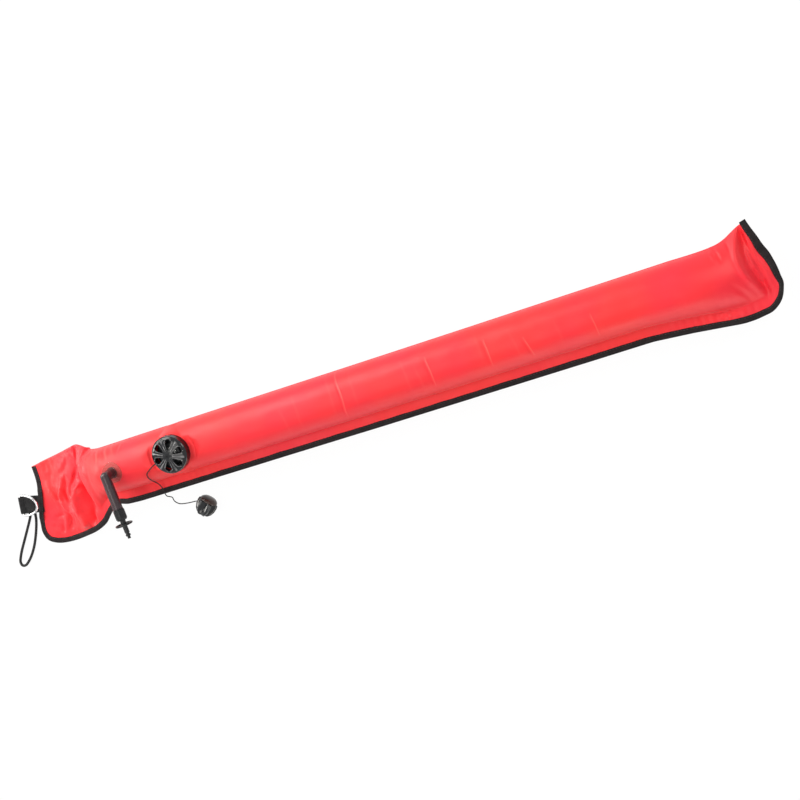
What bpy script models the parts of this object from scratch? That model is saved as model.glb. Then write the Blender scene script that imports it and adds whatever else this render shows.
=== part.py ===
"""Surface marker buoy: a slim inflatable tube folded from one sheet of coated
nylon, closed at both ends, with an edge binding, a relief valve with a pull
cord, an oral inflator, and a webbing tab with a D-ring and a bungee loop.

Frame: +X along the tube to its closed top end, +Y towards the folded side,
+Z up. The origin is the middle of the flat patch that the tube rests on.
Run with blender --background --python part.py
"""

import math

import bmesh
import bpy
from mathutils import Matrix, Vector

MM = 0.001

# Clearances
GAP = 0.3 * MM              # between touching or running pieces
OVERRUN = 2.0 * MM          # how far a cutter runs past what it cuts

# Envelope: the folded and welded sheet
TUBE_RADIUS = 35.0 * MM     # inflated chamber
FABRIC = 0.8 * MM           # coated nylon
SEAM_MARGIN = 20.0 * MM     # from the weld to the cut edge
ARC_STEPS = 15              # facets in each half of the round section
CREASE_X = -450.0 * MM      # cross weld that closes the chamber at the tail
TOP_X = 561.0 * MM          # furthest reach of the closed top end
TUBE_RIBS = 7               # plain ribs along the straight tube
TUBE_BOW = 1.2 * MM         # how far the tube's far half drifts to the seam side
NECK_LENGTH = 50.0 * MM     # from the cross weld to the full section
CLOSE_LENGTH = 90.0 * MM    # from the full section to the top weld
CREASE_HEIGHT = 22.0 * MM   # middle of the sheet at the cross weld
TAIL_LENGTH = 95.0 * MM     # flat tail, along the fold
TAIL_DROOP = 75.0 * MM      # over which the tail sinks to the floor
WRINKLE = 3.0 * MM          # height of the tail's main folds
WRINKLE_PITCH = 38.0 * MM
WRINKLE_SLANT = 0.45        # how far each fold leans across the tail
WRINKLE_END = 15.0 * MM     # flat left at the tail's end for the webbing
SHEET_RISE = 0.1 * MM       # fullness of the flat tail and of the end welds
END_INSET = 2.0 * MM        # extra wall where the gas space stops

# Edge binding
TAPE_WIDTH = 7.2 * MM
TAPE = 0.8 * MM
TAPE_END = 2.5 * MM         # square end past the fabric at the top fold
SWELL_FLAT = 6.0 * MM       # full swell past each side of the webbing
SWELL_FADE = 8.0 * MM

# Relief valve
VALVE_X = -286.0 * MM
SEAT_DROP = 4.5 * MM        # flat seat below the crest of the tube
SEAT_RADIUS = 28.0 * MM     # flat that the fabric makes under the valve
SEAT_SKIRT = 6.5 * MM       # how far the fabric flares out below the seat
SKIRT_DEPTH = 20.0 * MM
DIMPLE_RADIUS = 46.0 * MM   # dip in the crest round the valve
NECK_OUTER = 17.7 * MM
NECK_INNER = 14.5 * MM
NECK_HEIGHT = 6.0 * MM      # above the seat
BASE_FLANGE_RADIUS = 25.0 * MM
BASE_FLANGE = 2.0 * MM
SPIDER_ARMS = 3
SPIDER_WIDTH = 2.4 * MM
STEM_RADIUS = 1.5 * MM
GUIDE_RADIUS = 3.4 * MM
GUIDE_LENGTH = 6.0 * MM
GASKET = 1.0 * MM
CLAMP_RING = 2.5 * MM
CLAMP_RADIUS = 21.5 * MM
CLAMP_NOTCHES = 6
NOTCH_RADIUS = 1.4 * MM
SEAL = 1.0 * MM
SEAL_OVERLAP = 0.6 * MM     # how far the seal laps the neck's bore
PLATE = 1.4 * MM
PLATE_BOSS_RADIUS = 2.6 * MM
PLATE_BOSS = 1.6 * MM
STEM_FILLET = 2.5 * MM
EDGE = 0.6 * MM             # small chamfers on moulded edges
PLATE_RADIUS = 16.2 * MM
STEM_BELOW = 5.0 * MM       # poppet stem past the base's flange
CAP_RADIUS = 26.5 * MM
CAP_WALL = 1.7 * MM
CAP_SIDE = 12.0 * MM        # side wall, above the seat
CAP_HEIGHT = 17.6 * MM      # to the top of the hub
HUB_RADIUS = 5.0 * MM
HUB_RECESS = 2.2 * MM
CAP_TURN = math.radians(-21.0)
WINDOWS = 6
WINDOW_SHAPE = (            # distance from the hub, half the width
    (8.5 * MM, 1.2 * MM),
    (14.0 * MM, 3.3 * MM),
    (19.0 * MM, 5.0 * MM),
    (21.2 * MM, 4.4 * MM),
    (22.4 * MM, 2.2 * MM),
)
RIDGE = 1.3 * MM            # crest of each spoke, above the dome
RIDGE_NEAR = 1.5 * MM       # half the ridge's width at the hub
RIDGE_FAR = 4.3 * MM        # and at the rim
GRIP_GROOVES = 18
GROOVE_RADIUS = 0.8 * MM
HUB_DEPTH = 1.4 * MM        # depth of the recess in the hub
SHELL_DROP = 2.3 * MM       # from the cap's dome down to its shoulder
CORD_HOLE_RADIUS = 1.3 * MM
CORD_HOLE_HEIGHT = 9.6 * MM
CORD_HOLE_ANGLE = math.radians(194.0)
RELIEF_LIFT = 3.0 * MM
RELIEF_WIRE = 0.35 * MM     # half the wire's diameter
RELIEF_COILS = 3
RELIEF_COIL_WIDE = 11.0 * MM
RELIEF_COIL_NARROW = 6.0 * MM

# Pull cord and knob
CORD_RADIUS = 0.75 * MM
KNOB_X = -288.4 * MM
KNOB_Y = -88.8 * MM
KNOB_TILT = math.radians(-6.0)      # of the knob's axis, above the floor
KNOB_TURN = math.radians(42.0)      # of its axis, from +X
KNOB_CAP_RADIUS = 12.8 * MM
KNOB_CAP_HEIGHT = 6.8 * MM
KNOB_CAP_STEP = 0.7 * MM    # depth of the step round the cap's rim
KNOB_LOBES = 6
KNOB_LOBE_TURN = math.radians(33.3)     # first lobe, from the knob's lowest side
KNOB_FLUTE = 0.35           # depth between the lobes, as a share of their reach
KNOB_PROFILE = (            # distance from the cap, reach of the lobes
    (0.0, 14.6 * MM),
    (4.0 * MM, 15.4 * MM),
    (11.0 * MM, 14.8 * MM),
    (17.0 * MM, 12.4 * MM),
    (20.8 * MM, 9.0 * MM),
    (22.0 * MM, 5.5 * MM),
)
CORD_MOUTH = (4.8 * MM, 9.6 * MM, -4.0 * MM)    # where the cord meets the body

# Oral inflator
INFLATOR_X = -383.7 * MM
HOSE_HEIGHT = 91.0 * MM     # axis of the hose above the floor
HOSE_RADIUS = 7.0 * MM
HOSE_BORE = 5.0 * MM
HOSE_END_Y = -48.2 * MM
ELBOW_CORNER = 0.75         # corner cut, as a share of the radius
ELBOW_ROUND = 0.74          # outermost point of the rounded corner, likewise
ELBOW_CLEAR = 0.8 * MM      # between the tube's crest and the hose's lower end
FLANGE_RADIUS = 15.3 * MM
FLANGE = 1.4 * MM
SPIGOT_LENGTH = 22.0 * MM
SPIGOT_BORE = 2.6 * MM
SPRING_CHAMBER = 6.0 * MM   # depth of the spring's bore inside the hose
STEM_BORE = 4.3 * MM
BARREL_RADIUS = 6.2 * MM
BARREL_LENGTH = 16.5 * MM
SHOULDER = 1.6 * MM
COLLAR_RADIUS = 8.0 * MM
COLLAR_FLUTES = 14
FLUTE_RADIUS = 0.9 * MM
FLUTE_MARGIN = 1.0 * MM     # plain collar left at both ends of a flute
COLLAR_CHAMFER = 2.5 * MM
TUBE_STEM_RADIUS = 4.0 * MM
STEM_START = 3.0 * MM
WING_START = 22.4 * MM
WING = 2.4 * MM
WING_RADIUS = 12.5 * MM
WING_RIM = 2.3 * MM
WING_SPOKES = 3
WING_HUB = 5.0 * MM
SPOKE_HALF = 1.2 * MM
STEM_LAND = 1.5 * MM        # full-width lands beside the air port's waist
WAIST = 0.8 * MM            # depth of the waist
WAIST_LENGTH = 2.5 * MM
PORT_RADIUS = 0.8 * MM
NOZZLE_RADIUS = 3.5 * MM
NOZZLE_GROOVE = 2.6 * MM
TIP_RADIUS = 2.2 * MM
NOZZLE_END = 36.0 * MM      # groove starts, from the hose's end
TIP_START = 40.5 * MM
TIP_END = 44.5 * MM
AIR_BORE = 1.2 * MM
ROD_RADIUS = 1.5 * MM
VALVE_DISC_RADIUS = 4.0 * MM
VALVE_DISC = 1.2 * MM
INFLATOR_SPRING_WIRE = 0.35 * MM
INFLATOR_SPRING_RADIUS = 2.95 * MM
INFLATOR_SPRING_COILS = 5

# Webbing tab, D-ring and bungee loop
WEBBING_ANGLE = math.radians(168.0)     # from +X, square to the tail's end
WEBBING_X = -554.9 * MM                 # where the tab leaves the binding
WEBBING_Y = -19.4 * MM
WEBBING_WIDTH = 25.0 * MM
WEBBING = 1.2 * MM
WEBBING_REACH = 33.0 * MM               # past the binding, to the folded tip
WEBBING_ROOT = 6.2 * MM                 # under the binding
RING_WIRE = 2.0 * MM                    # half the wire's diameter
RING_INSIDE = 27.0 * MM
RING_DEPTH = 30.0 * MM                  # bar to crown, along the wire's middle
RING_TILT = math.radians(12.0)
RING_CORNER = 3.0 * MM
FOLD_WRAP = math.radians(17.0)          # of the strap round the bar, past a half turn
SLOT_PLAY = 0.24 * MM       # over and under the strap in the binding's slot
SLOT_REACH = 4.0 * MM       # the slot, each way from the binding's edge
BUNGEE_RADIUS = 2.0 * MM
BUNGEE_SPACING = 8.4 * MM
BUNGEE_PLACE = 15.4 * MM    # middle of the two strands, from the strap's root


# Round section between two flat edges
def lens_height(half_chord, rise, share):
    """Height of a circular arc over its chord; share runs from -1 to 1."""
    half_angle = 2.0 * math.atan2(rise, half_chord)
    radius = half_chord / math.sin(half_angle)
    return radius * (math.cos(half_angle * share) - math.cos(half_angle))


def lens_offset(half_chord, rise, share):
    """Place along the chord of the same arc."""
    half_angle = 2.0 * math.atan2(rise, half_chord)
    return half_chord * math.sin(half_angle * share) / math.sin(half_angle)


# Heights that follow from the sizes above
FULL_RISE = TUBE_RADIUS - FABRIC
TUBE_MIDDLE = FABRIC + lens_height(TUBE_RADIUS, FULL_RISE, 1.0 / ARC_STEPS)
CREST = 2.0 * TUBE_MIDDLE
SEAT_Z = CREST - SEAT_DROP
BINDING_HALF = FABRIC + GAP + TAPE
TAB_HALF = BINDING_HALF + WEBBING + GAP
BUNGEE_HEIGHT = WEBBING + 2.0 * GAP + BUNGEE_RADIUS
BAR_HEIGHT = BUNGEE_HEIGHT + BUNGEE_RADIUS + GAP
WING_END = WING_START + WING


# Scene and materials
for old in list(bpy.data.objects):
    bpy.data.objects.remove(old, do_unlink=True)

PARTS = bpy.data.collections.new("surface_marker_buoy")
CUTTERS = bpy.data.collections.new("cutters")
bpy.context.scene.collection.children.link(PARTS)
bpy.context.scene.collection.children.link(CUTTERS)


def material(name, color, roughness, metallic=0.0, alpha=1.0):
    made = bpy.data.materials.new(name)
    made.use_nodes = True
    shader = made.node_tree.nodes["Principled BSDF"]
    shader.inputs["Base Color"].default_value = (*color, 1.0)
    shader.inputs["Roughness"].default_value = roughness
    shader.inputs["Metallic"].default_value = metallic
    shader.inputs["Alpha"].default_value = alpha
    return made


RED_NYLON = material("red_coated_nylon", (0.95, 0.10, 0.10), 0.45)
BLACK_TAPE = material("black_binding_tape", (0.016, 0.014, 0.015), 0.8)
BLACK_WEBBING = material("black_webbing", (0.010, 0.010, 0.011), 0.85)
BLACK_PLASTIC = material("black_plastic", (0.012, 0.013, 0.016), 0.35)
GLOSS_BLACK = material("gloss_black_plastic", (0.010, 0.011, 0.014), 0.15)
BLACK_RUBBER = material("black_rubber", (0.02, 0.02, 0.02), 0.7)
SMOKY_HOSE = material("smoky_hose", (0.10, 0.05, 0.06), 0.25, alpha=0.7)
CHROME = material("chromed_steel", (0.8, 0.8, 0.8), 0.1, metallic=1.0)
SPRING_STEEL = material("spring_steel", (0.55, 0.55, 0.55), 0.3, metallic=1.0)
BUNGEE_COVER = material("bungee_cover", (0.012, 0.012, 0.012), 0.8)
CORD_COVER = material("cord_cover", (0.012, 0.012, 0.012), 0.7)


# Tools that make and join shapes
def add_object(name, mesh, finish, home=PARTS, parent=None, place=None):
    made = bpy.data.objects.new(name, mesh)
    home.objects.link(made)
    if finish is not None:
        made.data.materials.append(finish)
    if parent is not None:
        made.parent = parent
    if place is not None:
        made.matrix_local = place
    return made


def hide(cutter):
    cutter.hide_render = True
    cutter.display_type = "WIRE"
    return cutter


def empty(name, location, rotation=(0.0, 0.0, 0.0), parent=None):
    made = bpy.data.objects.new(name, None)
    PARTS.objects.link(made)
    made.location = location
    made.rotation_euler = rotation
    made.parent = parent
    return made


def smooth(mesh, angle=math.radians(35.0)):
    mesh.shade_smooth()
    mesh.set_sharp_from_angle(angle=angle)


def mesh_from(bm, name):
    bmesh.ops.recalc_face_normals(bm, faces=bm.faces)
    mesh = bpy.data.meshes.new(name)
    bm.to_mesh(mesh)
    bm.free()
    smooth(mesh)
    return mesh


def turned(name, profile, steps=32):
    """Mesh of a profile of (radius, height) points turned about Z.

    The profile is a closed loop, or an open line with both ends on the axis.
    """
    mesh = bpy.data.meshes.new(name + "_profile")
    points = [(radius, 0.0, height) for radius, height in profile]
    closed = profile[0][0] > 0.0
    edges = [(i, i + 1) for i in range(len(points) - 1)]
    if closed:
        edges.append((len(points) - 1, 0))
    mesh.from_pydata(points, edges, [])
    guide = bpy.data.objects.new(name + "_profile", mesh)
    CUTTERS.objects.link(guide)
    screw = guide.modifiers.new("turn", "SCREW")
    screw.angle = math.tau
    screw.steps = steps
    screw.render_steps = steps
    screw.use_merge_vertices = True
    screw.merge_threshold = 0.00001
    bpy.context.view_layer.update()
    depsgraph = bpy.context.evaluated_depsgraph_get()
    made = bpy.data.meshes.new_from_object(guide.evaluated_get(depsgraph))
    bpy.data.objects.remove(guide, do_unlink=True)
    bpy.data.meshes.remove(mesh)
    bm = bmesh.new()
    bm.from_mesh(made)
    bpy.data.meshes.remove(made)
    bmesh.ops.remove_doubles(bm, verts=bm.verts, dist=0.000005)
    return mesh_from(bm, name)


def tube_mesh(name, points, radius, resolution):
    """Mesh of a round tube along points, with welded caps."""
    curve = bpy.data.curves.new(name, "CURVE")
    curve.dimensions = "3D"
    curve.bevel_depth = radius
    curve.bevel_resolution = resolution
    curve.use_fill_caps = True
    spline = curve.splines.new("POLY")
    spline.points.add(len(points) - 1)
    for knot, point in zip(spline.points, points):
        knot.co = (*point, 1.0)
    guide = bpy.data.objects.new(name, curve)
    CUTTERS.objects.link(guide)
    bpy.context.view_layer.update()
    depsgraph = bpy.context.evaluated_depsgraph_get()
    made = bpy.data.meshes.new_from_object(guide.evaluated_get(depsgraph))
    bpy.data.objects.remove(guide, do_unlink=True)
    bpy.data.curves.remove(curve)
    bm = bmesh.new()
    bm.from_mesh(made)
    bpy.data.meshes.remove(made)
    bmesh.ops.remove_doubles(bm, verts=bm.verts, dist=0.000005)
    return mesh_from(bm, name)


def outline_mesh(name, outline, thickness):
    """Mesh of a flat outline in XY, thickness centred on Z = 0."""
    curve = bpy.data.curves.new(name, "CURVE")
    curve.dimensions = "2D"
    curve.fill_mode = "BOTH"
    curve.extrude = thickness / 2.0
    spline = curve.splines.new("POLY")
    spline.points.add(len(outline) - 1)
    for knot, point in zip(spline.points, outline):
        knot.co = (point[0], point[1], 0.0, 1.0)
    spline.use_cyclic_u = True
    guide = bpy.data.objects.new(name, curve)
    CUTTERS.objects.link(guide)
    bpy.context.view_layer.update()
    depsgraph = bpy.context.evaluated_depsgraph_get()
    made = bpy.data.meshes.new_from_object(guide.evaluated_get(depsgraph))
    bpy.data.objects.remove(guide, do_unlink=True)
    bpy.data.curves.remove(curve)
    bm = bmesh.new()
    bm.from_mesh(made)
    bpy.data.meshes.remove(made)
    bmesh.ops.remove_doubles(bm, verts=bm.verts, dist=0.000005)
    return mesh_from(bm, name)


def cone_mesh(name, low_radius, high_radius, low, high, segments=40):
    bm = bmesh.new()
    bmesh.ops.create_cone(
        bm,
        cap_ends=True,
        segments=segments,
        radius1=low_radius,
        radius2=high_radius,
        depth=high - low,
        matrix=Matrix.Translation((0.0, 0.0, (low + high) / 2.0)),
    )
    return mesh_from(bm, name)


def box_mesh(name, low, high):
    size = Vector(high) - Vector(low)
    middle = (Vector(high) + Vector(low)) / 2.0
    bm = bmesh.new()
    matrix = Matrix.Translation(middle) @ Matrix.Diagonal((*size, 1.0))
    bmesh.ops.create_cube(bm, size=1.0, matrix=matrix)
    return mesh_from(bm, name)


def combine(target, other, operation):
    """Boolean of target with another object, which is then removed."""
    change = target.modifiers.new(operation.lower(), "BOOLEAN")
    change.operation = operation
    change.solver = "EXACT"
    change.object = other
    bpy.context.view_layer.update()
    depsgraph = bpy.context.evaluated_depsgraph_get()
    made = bpy.data.meshes.new_from_object(target.evaluated_get(depsgraph))
    target.modifiers.remove(change)
    old = target.data
    target.data = made
    bpy.data.meshes.remove(old)
    smooth(made)
    spare = other.data
    bpy.data.objects.remove(other, do_unlink=True)
    bpy.data.meshes.remove(spare)


def tool(mesh, parent=None, place=None):
    return hide(add_object(mesh.name + "_tool", mesh, None, CUTTERS, parent, place))


def cut(target, mesh, parent=None, place=None):
    combine(target, tool(mesh, parent, place), "DIFFERENCE")


def join(target, mesh, parent=None, place=None):
    combine(target, tool(mesh, parent, place), "UNION")


def spin(angle):
    return Matrix.Rotation(angle, 4, "Z")


def shift(x, y, z):
    return Matrix.Translation((x, y, z))


def catmull(points, per_gap):
    """Points of a smooth curve through the given ones, ends included."""
    count = len(points)
    made = []
    for i in range(count - 1):
        before = points[max(i - 1, 0)]
        start = points[i]
        end = points[i + 1]
        after = points[min(i + 2, count - 1)]
        for step in range(per_gap):
            t = step / per_gap
            made.append(
                tuple(
                    0.5 * (2 * b + (c - a) * t + (2 * a - 5 * b + 4 * c - d) * t * t
                           + (3 * b - a - 3 * c + d) * t ** 3)
                    for a, b, c, d in zip(before, start, end, after)
                )
            )
    made.append(tuple(points[-1]))
    return made


def even_points(points, spacing):
    """Points evenly spaced along a finely stepped line, ends included."""
    lengths = [0.0]
    for a, b in zip(points, points[1:]):
        lengths.append(lengths[-1] + (Vector(b) - Vector(a)).length)
    total = lengths[-1]
    count = max(2, round(total / spacing))
    made = []
    place = 0
    for i in range(count + 1):
        want = total * i / count
        while place < len(points) - 2 and lengths[place + 1] < want:
            place += 1
        span = max(lengths[place + 1] - lengths[place], 1e-9)
        t = (want - lengths[place]) / span
        made.append(Vector(points[place]).lerp(Vector(points[place + 1]), t))
    return made


# Envelope ribs
# Each rib joins the fold to the bound edge. The columns are the place of its
# fold end and of its edge end along X, how far each stands out past the tube's
# own side, and how far the rib bows along +X. Tail and neck ribs are measured
# from the cross weld, top ribs from the top end.
TAIL_RIBS = (
    (-1.00 * TAIL_LENGTH, 1.6 * MM, -1.26 * TAIL_LENGTH, 5.0 * MM, 5.0 * MM),
    (-0.91 * TAIL_LENGTH, 2.6 * MM, -1.23 * TAIL_LENGTH, 18.5 * MM, 4.0 * MM),
    (-0.80 * TAIL_LENGTH, 4.3 * MM, -1.13 * TAIL_LENGTH, 26.0 * MM, 3.0 * MM),
    (-0.63 * TAIL_LENGTH, 6.2 * MM, -0.98 * TAIL_LENGTH, 30.5 * MM, 0.0),
    (-0.46 * TAIL_LENGTH, 8.2 * MM, -0.74 * TAIL_LENGTH, 32.0 * MM, -4.0 * MM),
    (-0.29 * TAIL_LENGTH, 10.5 * MM, -0.48 * TAIL_LENGTH, 29.5 * MM, -7.0 * MM),
    (-0.14 * TAIL_LENGTH, 12.8 * MM, -0.23 * TAIL_LENGTH, 25.5 * MM, -8.0 * MM),
    (0.0, 14.3 * MM, -0.02 * TAIL_LENGTH, 18.5 * MM, -8.0 * MM),
)
NECK_RIBS = (
    (0.14 * NECK_LENGTH, 11.0 * MM, 0.16 * NECK_LENGTH, 10.5 * MM, -7.0 * MM),
    (0.28 * NECK_LENGTH, 6.6 * MM, 0.34 * NECK_LENGTH, 4.0 * MM, -5.0 * MM),
    (0.44 * NECK_LENGTH, 2.2 * MM, 0.54 * NECK_LENGTH, -1.5 * MM, -3.0 * MM),
    (0.68 * NECK_LENGTH, 0.3 * MM, 0.78 * NECK_LENGTH, -5.0 * MM, -1.0 * MM),
    (1.00 * NECK_LENGTH, 0.0, 1.02 * NECK_LENGTH, -1.5 * MM, 0.0),
)
TOP_MARGIN = 33.0 * MM      # from the top end's reach back to the weld
TOP_BOW_SKEW = 1.1          # how far the bow of the top ribs leans to the seam
TOP_RIBS = (
    (-1.00 * CLOSE_LENGTH, -TUBE_BOW, -1.00 * CLOSE_LENGTH, 5.7 * MM, 0.0),
    (-0.74 * CLOSE_LENGTH, -1.8 * MM, -0.72 * CLOSE_LENGTH, 8.7 * MM, 0.0),
    (-0.52 * CLOSE_LENGTH, -1.6 * MM, -0.50 * CLOSE_LENGTH, 11.0 * MM, 0.0),
    (-0.34 * CLOSE_LENGTH, -0.2 * MM, -0.30 * CLOSE_LENGTH, 13.0 * MM, 0.0),
    (-0.21 * CLOSE_LENGTH, 3.3 * MM, -0.12 * CLOSE_LENGTH, 12.6 * MM, 1.0 * MM),
    (-0.10 * CLOSE_LENGTH, 8.4 * MM, 0.0, 11.0 * MM, 2.0 * MM),
    (0.0, 12.8 * MM, 11.0 * MM, 8.7 * MM, 3.0 * MM),
    (6.5 * MM, 15.0 * MM, 24.0 * MM, -2.2 * MM, 3.2 * MM),
    (12.0 * MM, 16.5 * MM, TOP_MARGIN, -21.2 * MM, 3.0 * MM),
)


def close_rise(share):
    """Half height of the chamber from a weld (0) to the full section (1)."""
    share = min(max(share, 0.0), 1.0)
    return FULL_RISE * math.sqrt(1.0 - (1.0 - share) ** 2)


def envelope_ribs():
    """Every rib from the tail's end to the top end, as plan points and rise."""
    rows = []
    for fold_x, fold_out, edge_x, edge_out, bow in TAIL_RIBS:
        plan = (CREASE_X + fold_x, fold_out, CREASE_X + edge_x, edge_out)
        rows.append((*plan, bow, SHEET_RISE, 0.0))
    for fold_x, fold_out, edge_x, edge_out, bow in NECK_RIBS:
        plan = (CREASE_X + fold_x, fold_out, CREASE_X + edge_x, edge_out)
        rows.append((*plan, bow, close_rise(fold_x / NECK_LENGTH), 0.0))
    tube_start = CREASE_X + 1.5 * NECK_LENGTH
    top_weld = TOP_X - TOP_MARGIN
    tube_end = top_weld - CLOSE_LENGTH - NECK_LENGTH
    for i in range(TUBE_RIBS):
        share = i / (TUBE_RIBS - 1)
        x = tube_start + (tube_end - tube_start) * share
        drift = TUBE_BOW * ease(1.5 * share)
        rows.append((x, -drift, x, drift, 0.0, FULL_RISE, 0.0))
    for fold_x, fold_out, edge_x, edge_out, bow in TOP_RIBS:
        plan = (top_weld + fold_x, fold_out, top_weld + edge_x, edge_out)
        rise = max(close_rise(-fold_x / CLOSE_LENGTH), SHEET_RISE)
        rows.append((*plan, bow, rise, TOP_BOW_SKEW))
    return rows


def ease(share):
    share = min(max(share, 0.0), 1.0)
    return share * share * (3.0 - 2.0 * share)


def tail_axes():
    """Directions of the webbing tab: out of the tail, and along its end."""
    out = Vector((math.cos(WEBBING_ANGLE), math.sin(WEBBING_ANGLE), 0.0))
    along = Vector((-out.y, out.x, 0.0))
    return out, along


def wrinkle_height(x, y):
    """Height of the tail's folds, which die out towards its sides."""
    fade = 20.0 * MM
    side_fade = 25.0 * MM
    past_weld = CREASE_X - x
    before_end = x - CREASE_X + TAIL_LENGTH - WRINKLE_END
    from_fold = TUBE_RADIUS + TAPE_WIDTH - y
    from_edge = y + TUBE_RADIUS + SEAM_MARGIN + TAPE_WIDTH / 2.0
    inside = ease(past_weld / fade) * ease(before_end / fade)
    inside *= ease(from_fold / side_fade) * ease(from_edge / side_fade)
    waves = math.sin(math.tau * (x + WRINKLE_SLANT * y) / WRINKLE_PITCH)
    return WRINKLE * inside * (1.0 + waves)


def middle_height(x, y):
    """Height of the middle of the double sheet at a place in the plan."""
    if x > CREASE_X:
        lift = ease((x - CREASE_X) / NECK_LENGTH)
        return CREASE_HEIGHT + (TUBE_MIDDLE - CREASE_HEIGHT) * lift
    along = tail_axes()[1]
    aside = abs((x - WEBBING_X) * along.x + (y - WEBBING_Y) * along.y)
    spread = ease((aside - WEBBING_WIDTH / 2.0) / WEBBING_WIDTH)
    floor_height = TAB_HALF - (TAB_HALF - BINDING_HALF) * spread
    fall = ease((CREASE_X - x) / TAIL_DROOP)
    height = CREASE_HEIGHT + (floor_height - CREASE_HEIGHT) * fall
    return height + wrinkle_height(x, y)


def rib_plan(row):
    """Fold end, weld point and edge end of a rib, in the plan."""
    fold_x, fold_out, edge_x, edge_out = row[:4]
    fold = Vector((fold_x, TUBE_RADIUS + fold_out))
    edge = Vector((edge_x, -TUBE_RADIUS - SEAM_MARGIN - edge_out))
    weld = edge + (fold - edge).normalized() * SEAM_MARGIN
    return fold, weld, edge


def bow_offset(row, along):
    """How far a rib bows along X; along runs from -1 at the weld to 1."""
    return Vector((row[4] * (1.0 - along * along) * (1.0 - row[6] * along), 0.0))


def sheet_sides(row):
    """Points along the upper and the lower outer side of one rib."""
    rise = row[5]
    fold, weld, edge = rib_plan(row)
    centre = (fold + weld) / 2.0
    half = (fold - weld) / 2.0
    plan = []
    for i in range(ARC_STEPS + 1):
        share = 1.0 - 2.0 * i / ARC_STEPS
        along = lens_offset(half.length, rise, share) / half.length
        place = centre + half * along + bow_offset(row, along)
        plan.append((place, lens_height(half.length, rise, share)))
    plan.append(((weld + edge) / 2.0, 0.0))
    plan.append((edge, 0.0))
    top = []
    bottom = []
    for place, height in plan:
        middle = middle_height(place.x, place.y)
        top.append(Vector((place.x, place.y, middle + FABRIC + height)))
        low = max(middle - FABRIC - height, 0.0)
        bottom.append(Vector((place.x, place.y, low)))
    return top, bottom


def loft(name, rings):
    """Closed skin over rings with as many points each, ends capped."""
    bm = bmesh.new()
    rows = [[bm.verts.new(point) for point in ring] for ring in rings]
    count = len(rings[0])
    for a, b in zip(rows, rows[1:]):
        for i in range(count):
            j = (i + 1) % count
            bm.faces.new((a[i], a[j], b[j], b[i]))
    half = count // 2
    for row in (rows[0], rows[-1]):
        for i in range(half - 1):
            bm.faces.new((row[i], row[i + 1], row[count - 2 - i], row[count - 1 - i]))
    return mesh_from(bm, name)


def all_ribs():
    """Ribs with one more between each pair where the outline turns."""
    rows = envelope_ribs()
    tail_count = len(TAIL_RIBS) + len(NECK_RIBS)
    top_count = len(TOP_RIBS)
    tail = catmull(rows[:tail_count], 2)
    tube = rows[tail_count:-top_count]
    top = catmull(rows[-top_count:], 2)
    return tail + tube + top


def chamber_ring(row, inset):
    """Ring of the gas space inside one rib."""
    rise = row[5] - inset
    least = 0.2 * MM
    fold, weld = rib_plan(row)[:2]
    centre = (fold + weld) / 2.0
    half = (fold - weld) / 2.0
    half = half * (1.0 - (FABRIC + inset) / half.length)
    top = []
    bottom = []
    for i in range(ARC_STEPS + 1):
        share = 1.0 - 2.0 * i / ARC_STEPS
        along = lens_offset(half.length, rise, share) / half.length
        place = centre + half * along + bow_offset(row, along)
        height = max(lens_height(half.length, rise, share), least)
        middle = middle_height(place.x, place.y)
        top.append(Vector((place.x, place.y, middle + height)))
        bottom.append(Vector((place.x, place.y, max(middle - height, FABRIC))))
    return top + bottom[::-1]


def make_envelope():
    ribs = all_ribs()
    rings = [top + bottom[::-1] for top, bottom in map(sheet_sides, ribs)]
    envelope = add_object("envelope", loft("envelope", rings), RED_NYLON)
    deep = [row for row in ribs if row[5] > 0.7 * FULL_RISE]
    insets = [END_INSET] + [0.0] * (len(deep) - 2) + [END_INSET]
    spaces = [chamber_ring(row, inset) for row, inset in zip(deep, insets)]
    chamber = add_object("chamber", loft("chamber", spaces), None, CUTTERS)
    hide(chamber)
    valve = empty("valve_seat", (VALVE_X, 0.0, SEAT_Z))
    low = -SKIRT_DEPTH
    slope = SEAT_SKIRT / SKIRT_DEPTH
    for skin, inset in ((envelope, 0.0), (chamber, FABRIC)):
        outer = SEAT_RADIUS - inset
        tent = cone_mesh(
            "tent", outer + SEAT_SKIRT, outer - slope * OVERRUN, low - inset, OVERRUN - inset
        )
        join(skin, tent, valve)
        rim = SEAT_RADIUS + OVERRUN + inset
        dimple = cone_mesh("dimple", rim, DIMPLE_RADIUS + inset, -inset, SEAT_DROP + GAP)
        cut(skin, dimple, valve)
    combine(envelope, chamber, "DIFFERENCE")
    neck_hole = cone_mesh(
        "neck_hole", NECK_OUTER + GAP, NECK_OUTER + GAP, -FABRIC - OVERRUN, OVERRUN
    )
    cut(envelope, neck_hole, valve)
    air_hole = cone_mesh("air_hole", HOSE_BORE, HOSE_BORE, TUBE_MIDDLE, CREST + OVERRUN, 24)
    cut(envelope, air_hole, place=shift(INFLATOR_X, 0.0, 0.0))
    return ribs, valve


# Edge binding
def binding_path(ribs):
    """Bound edge from the tail's fold corner round to the top's fold corner."""
    tail_end = sheet_sides(ribs[0])[0]
    top_end = sheet_sides(ribs[-1])[0]
    path = [Vector((p.x, p.y)) for p in tail_end]
    for row in ribs[1:-1]:
        path.append(rib_plan(row)[2])
    path.extend(Vector((p.x, p.y)) for p in reversed(top_end))
    return path


def tab_swell(aside):
    """How much the binding stands off at a distance from the webbing's middle."""
    past = (aside - WEBBING_WIDTH / 2.0 - SWELL_FLAT) / SWELL_FADE
    return (WEBBING + GAP) * (1.0 - ease(past))


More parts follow.
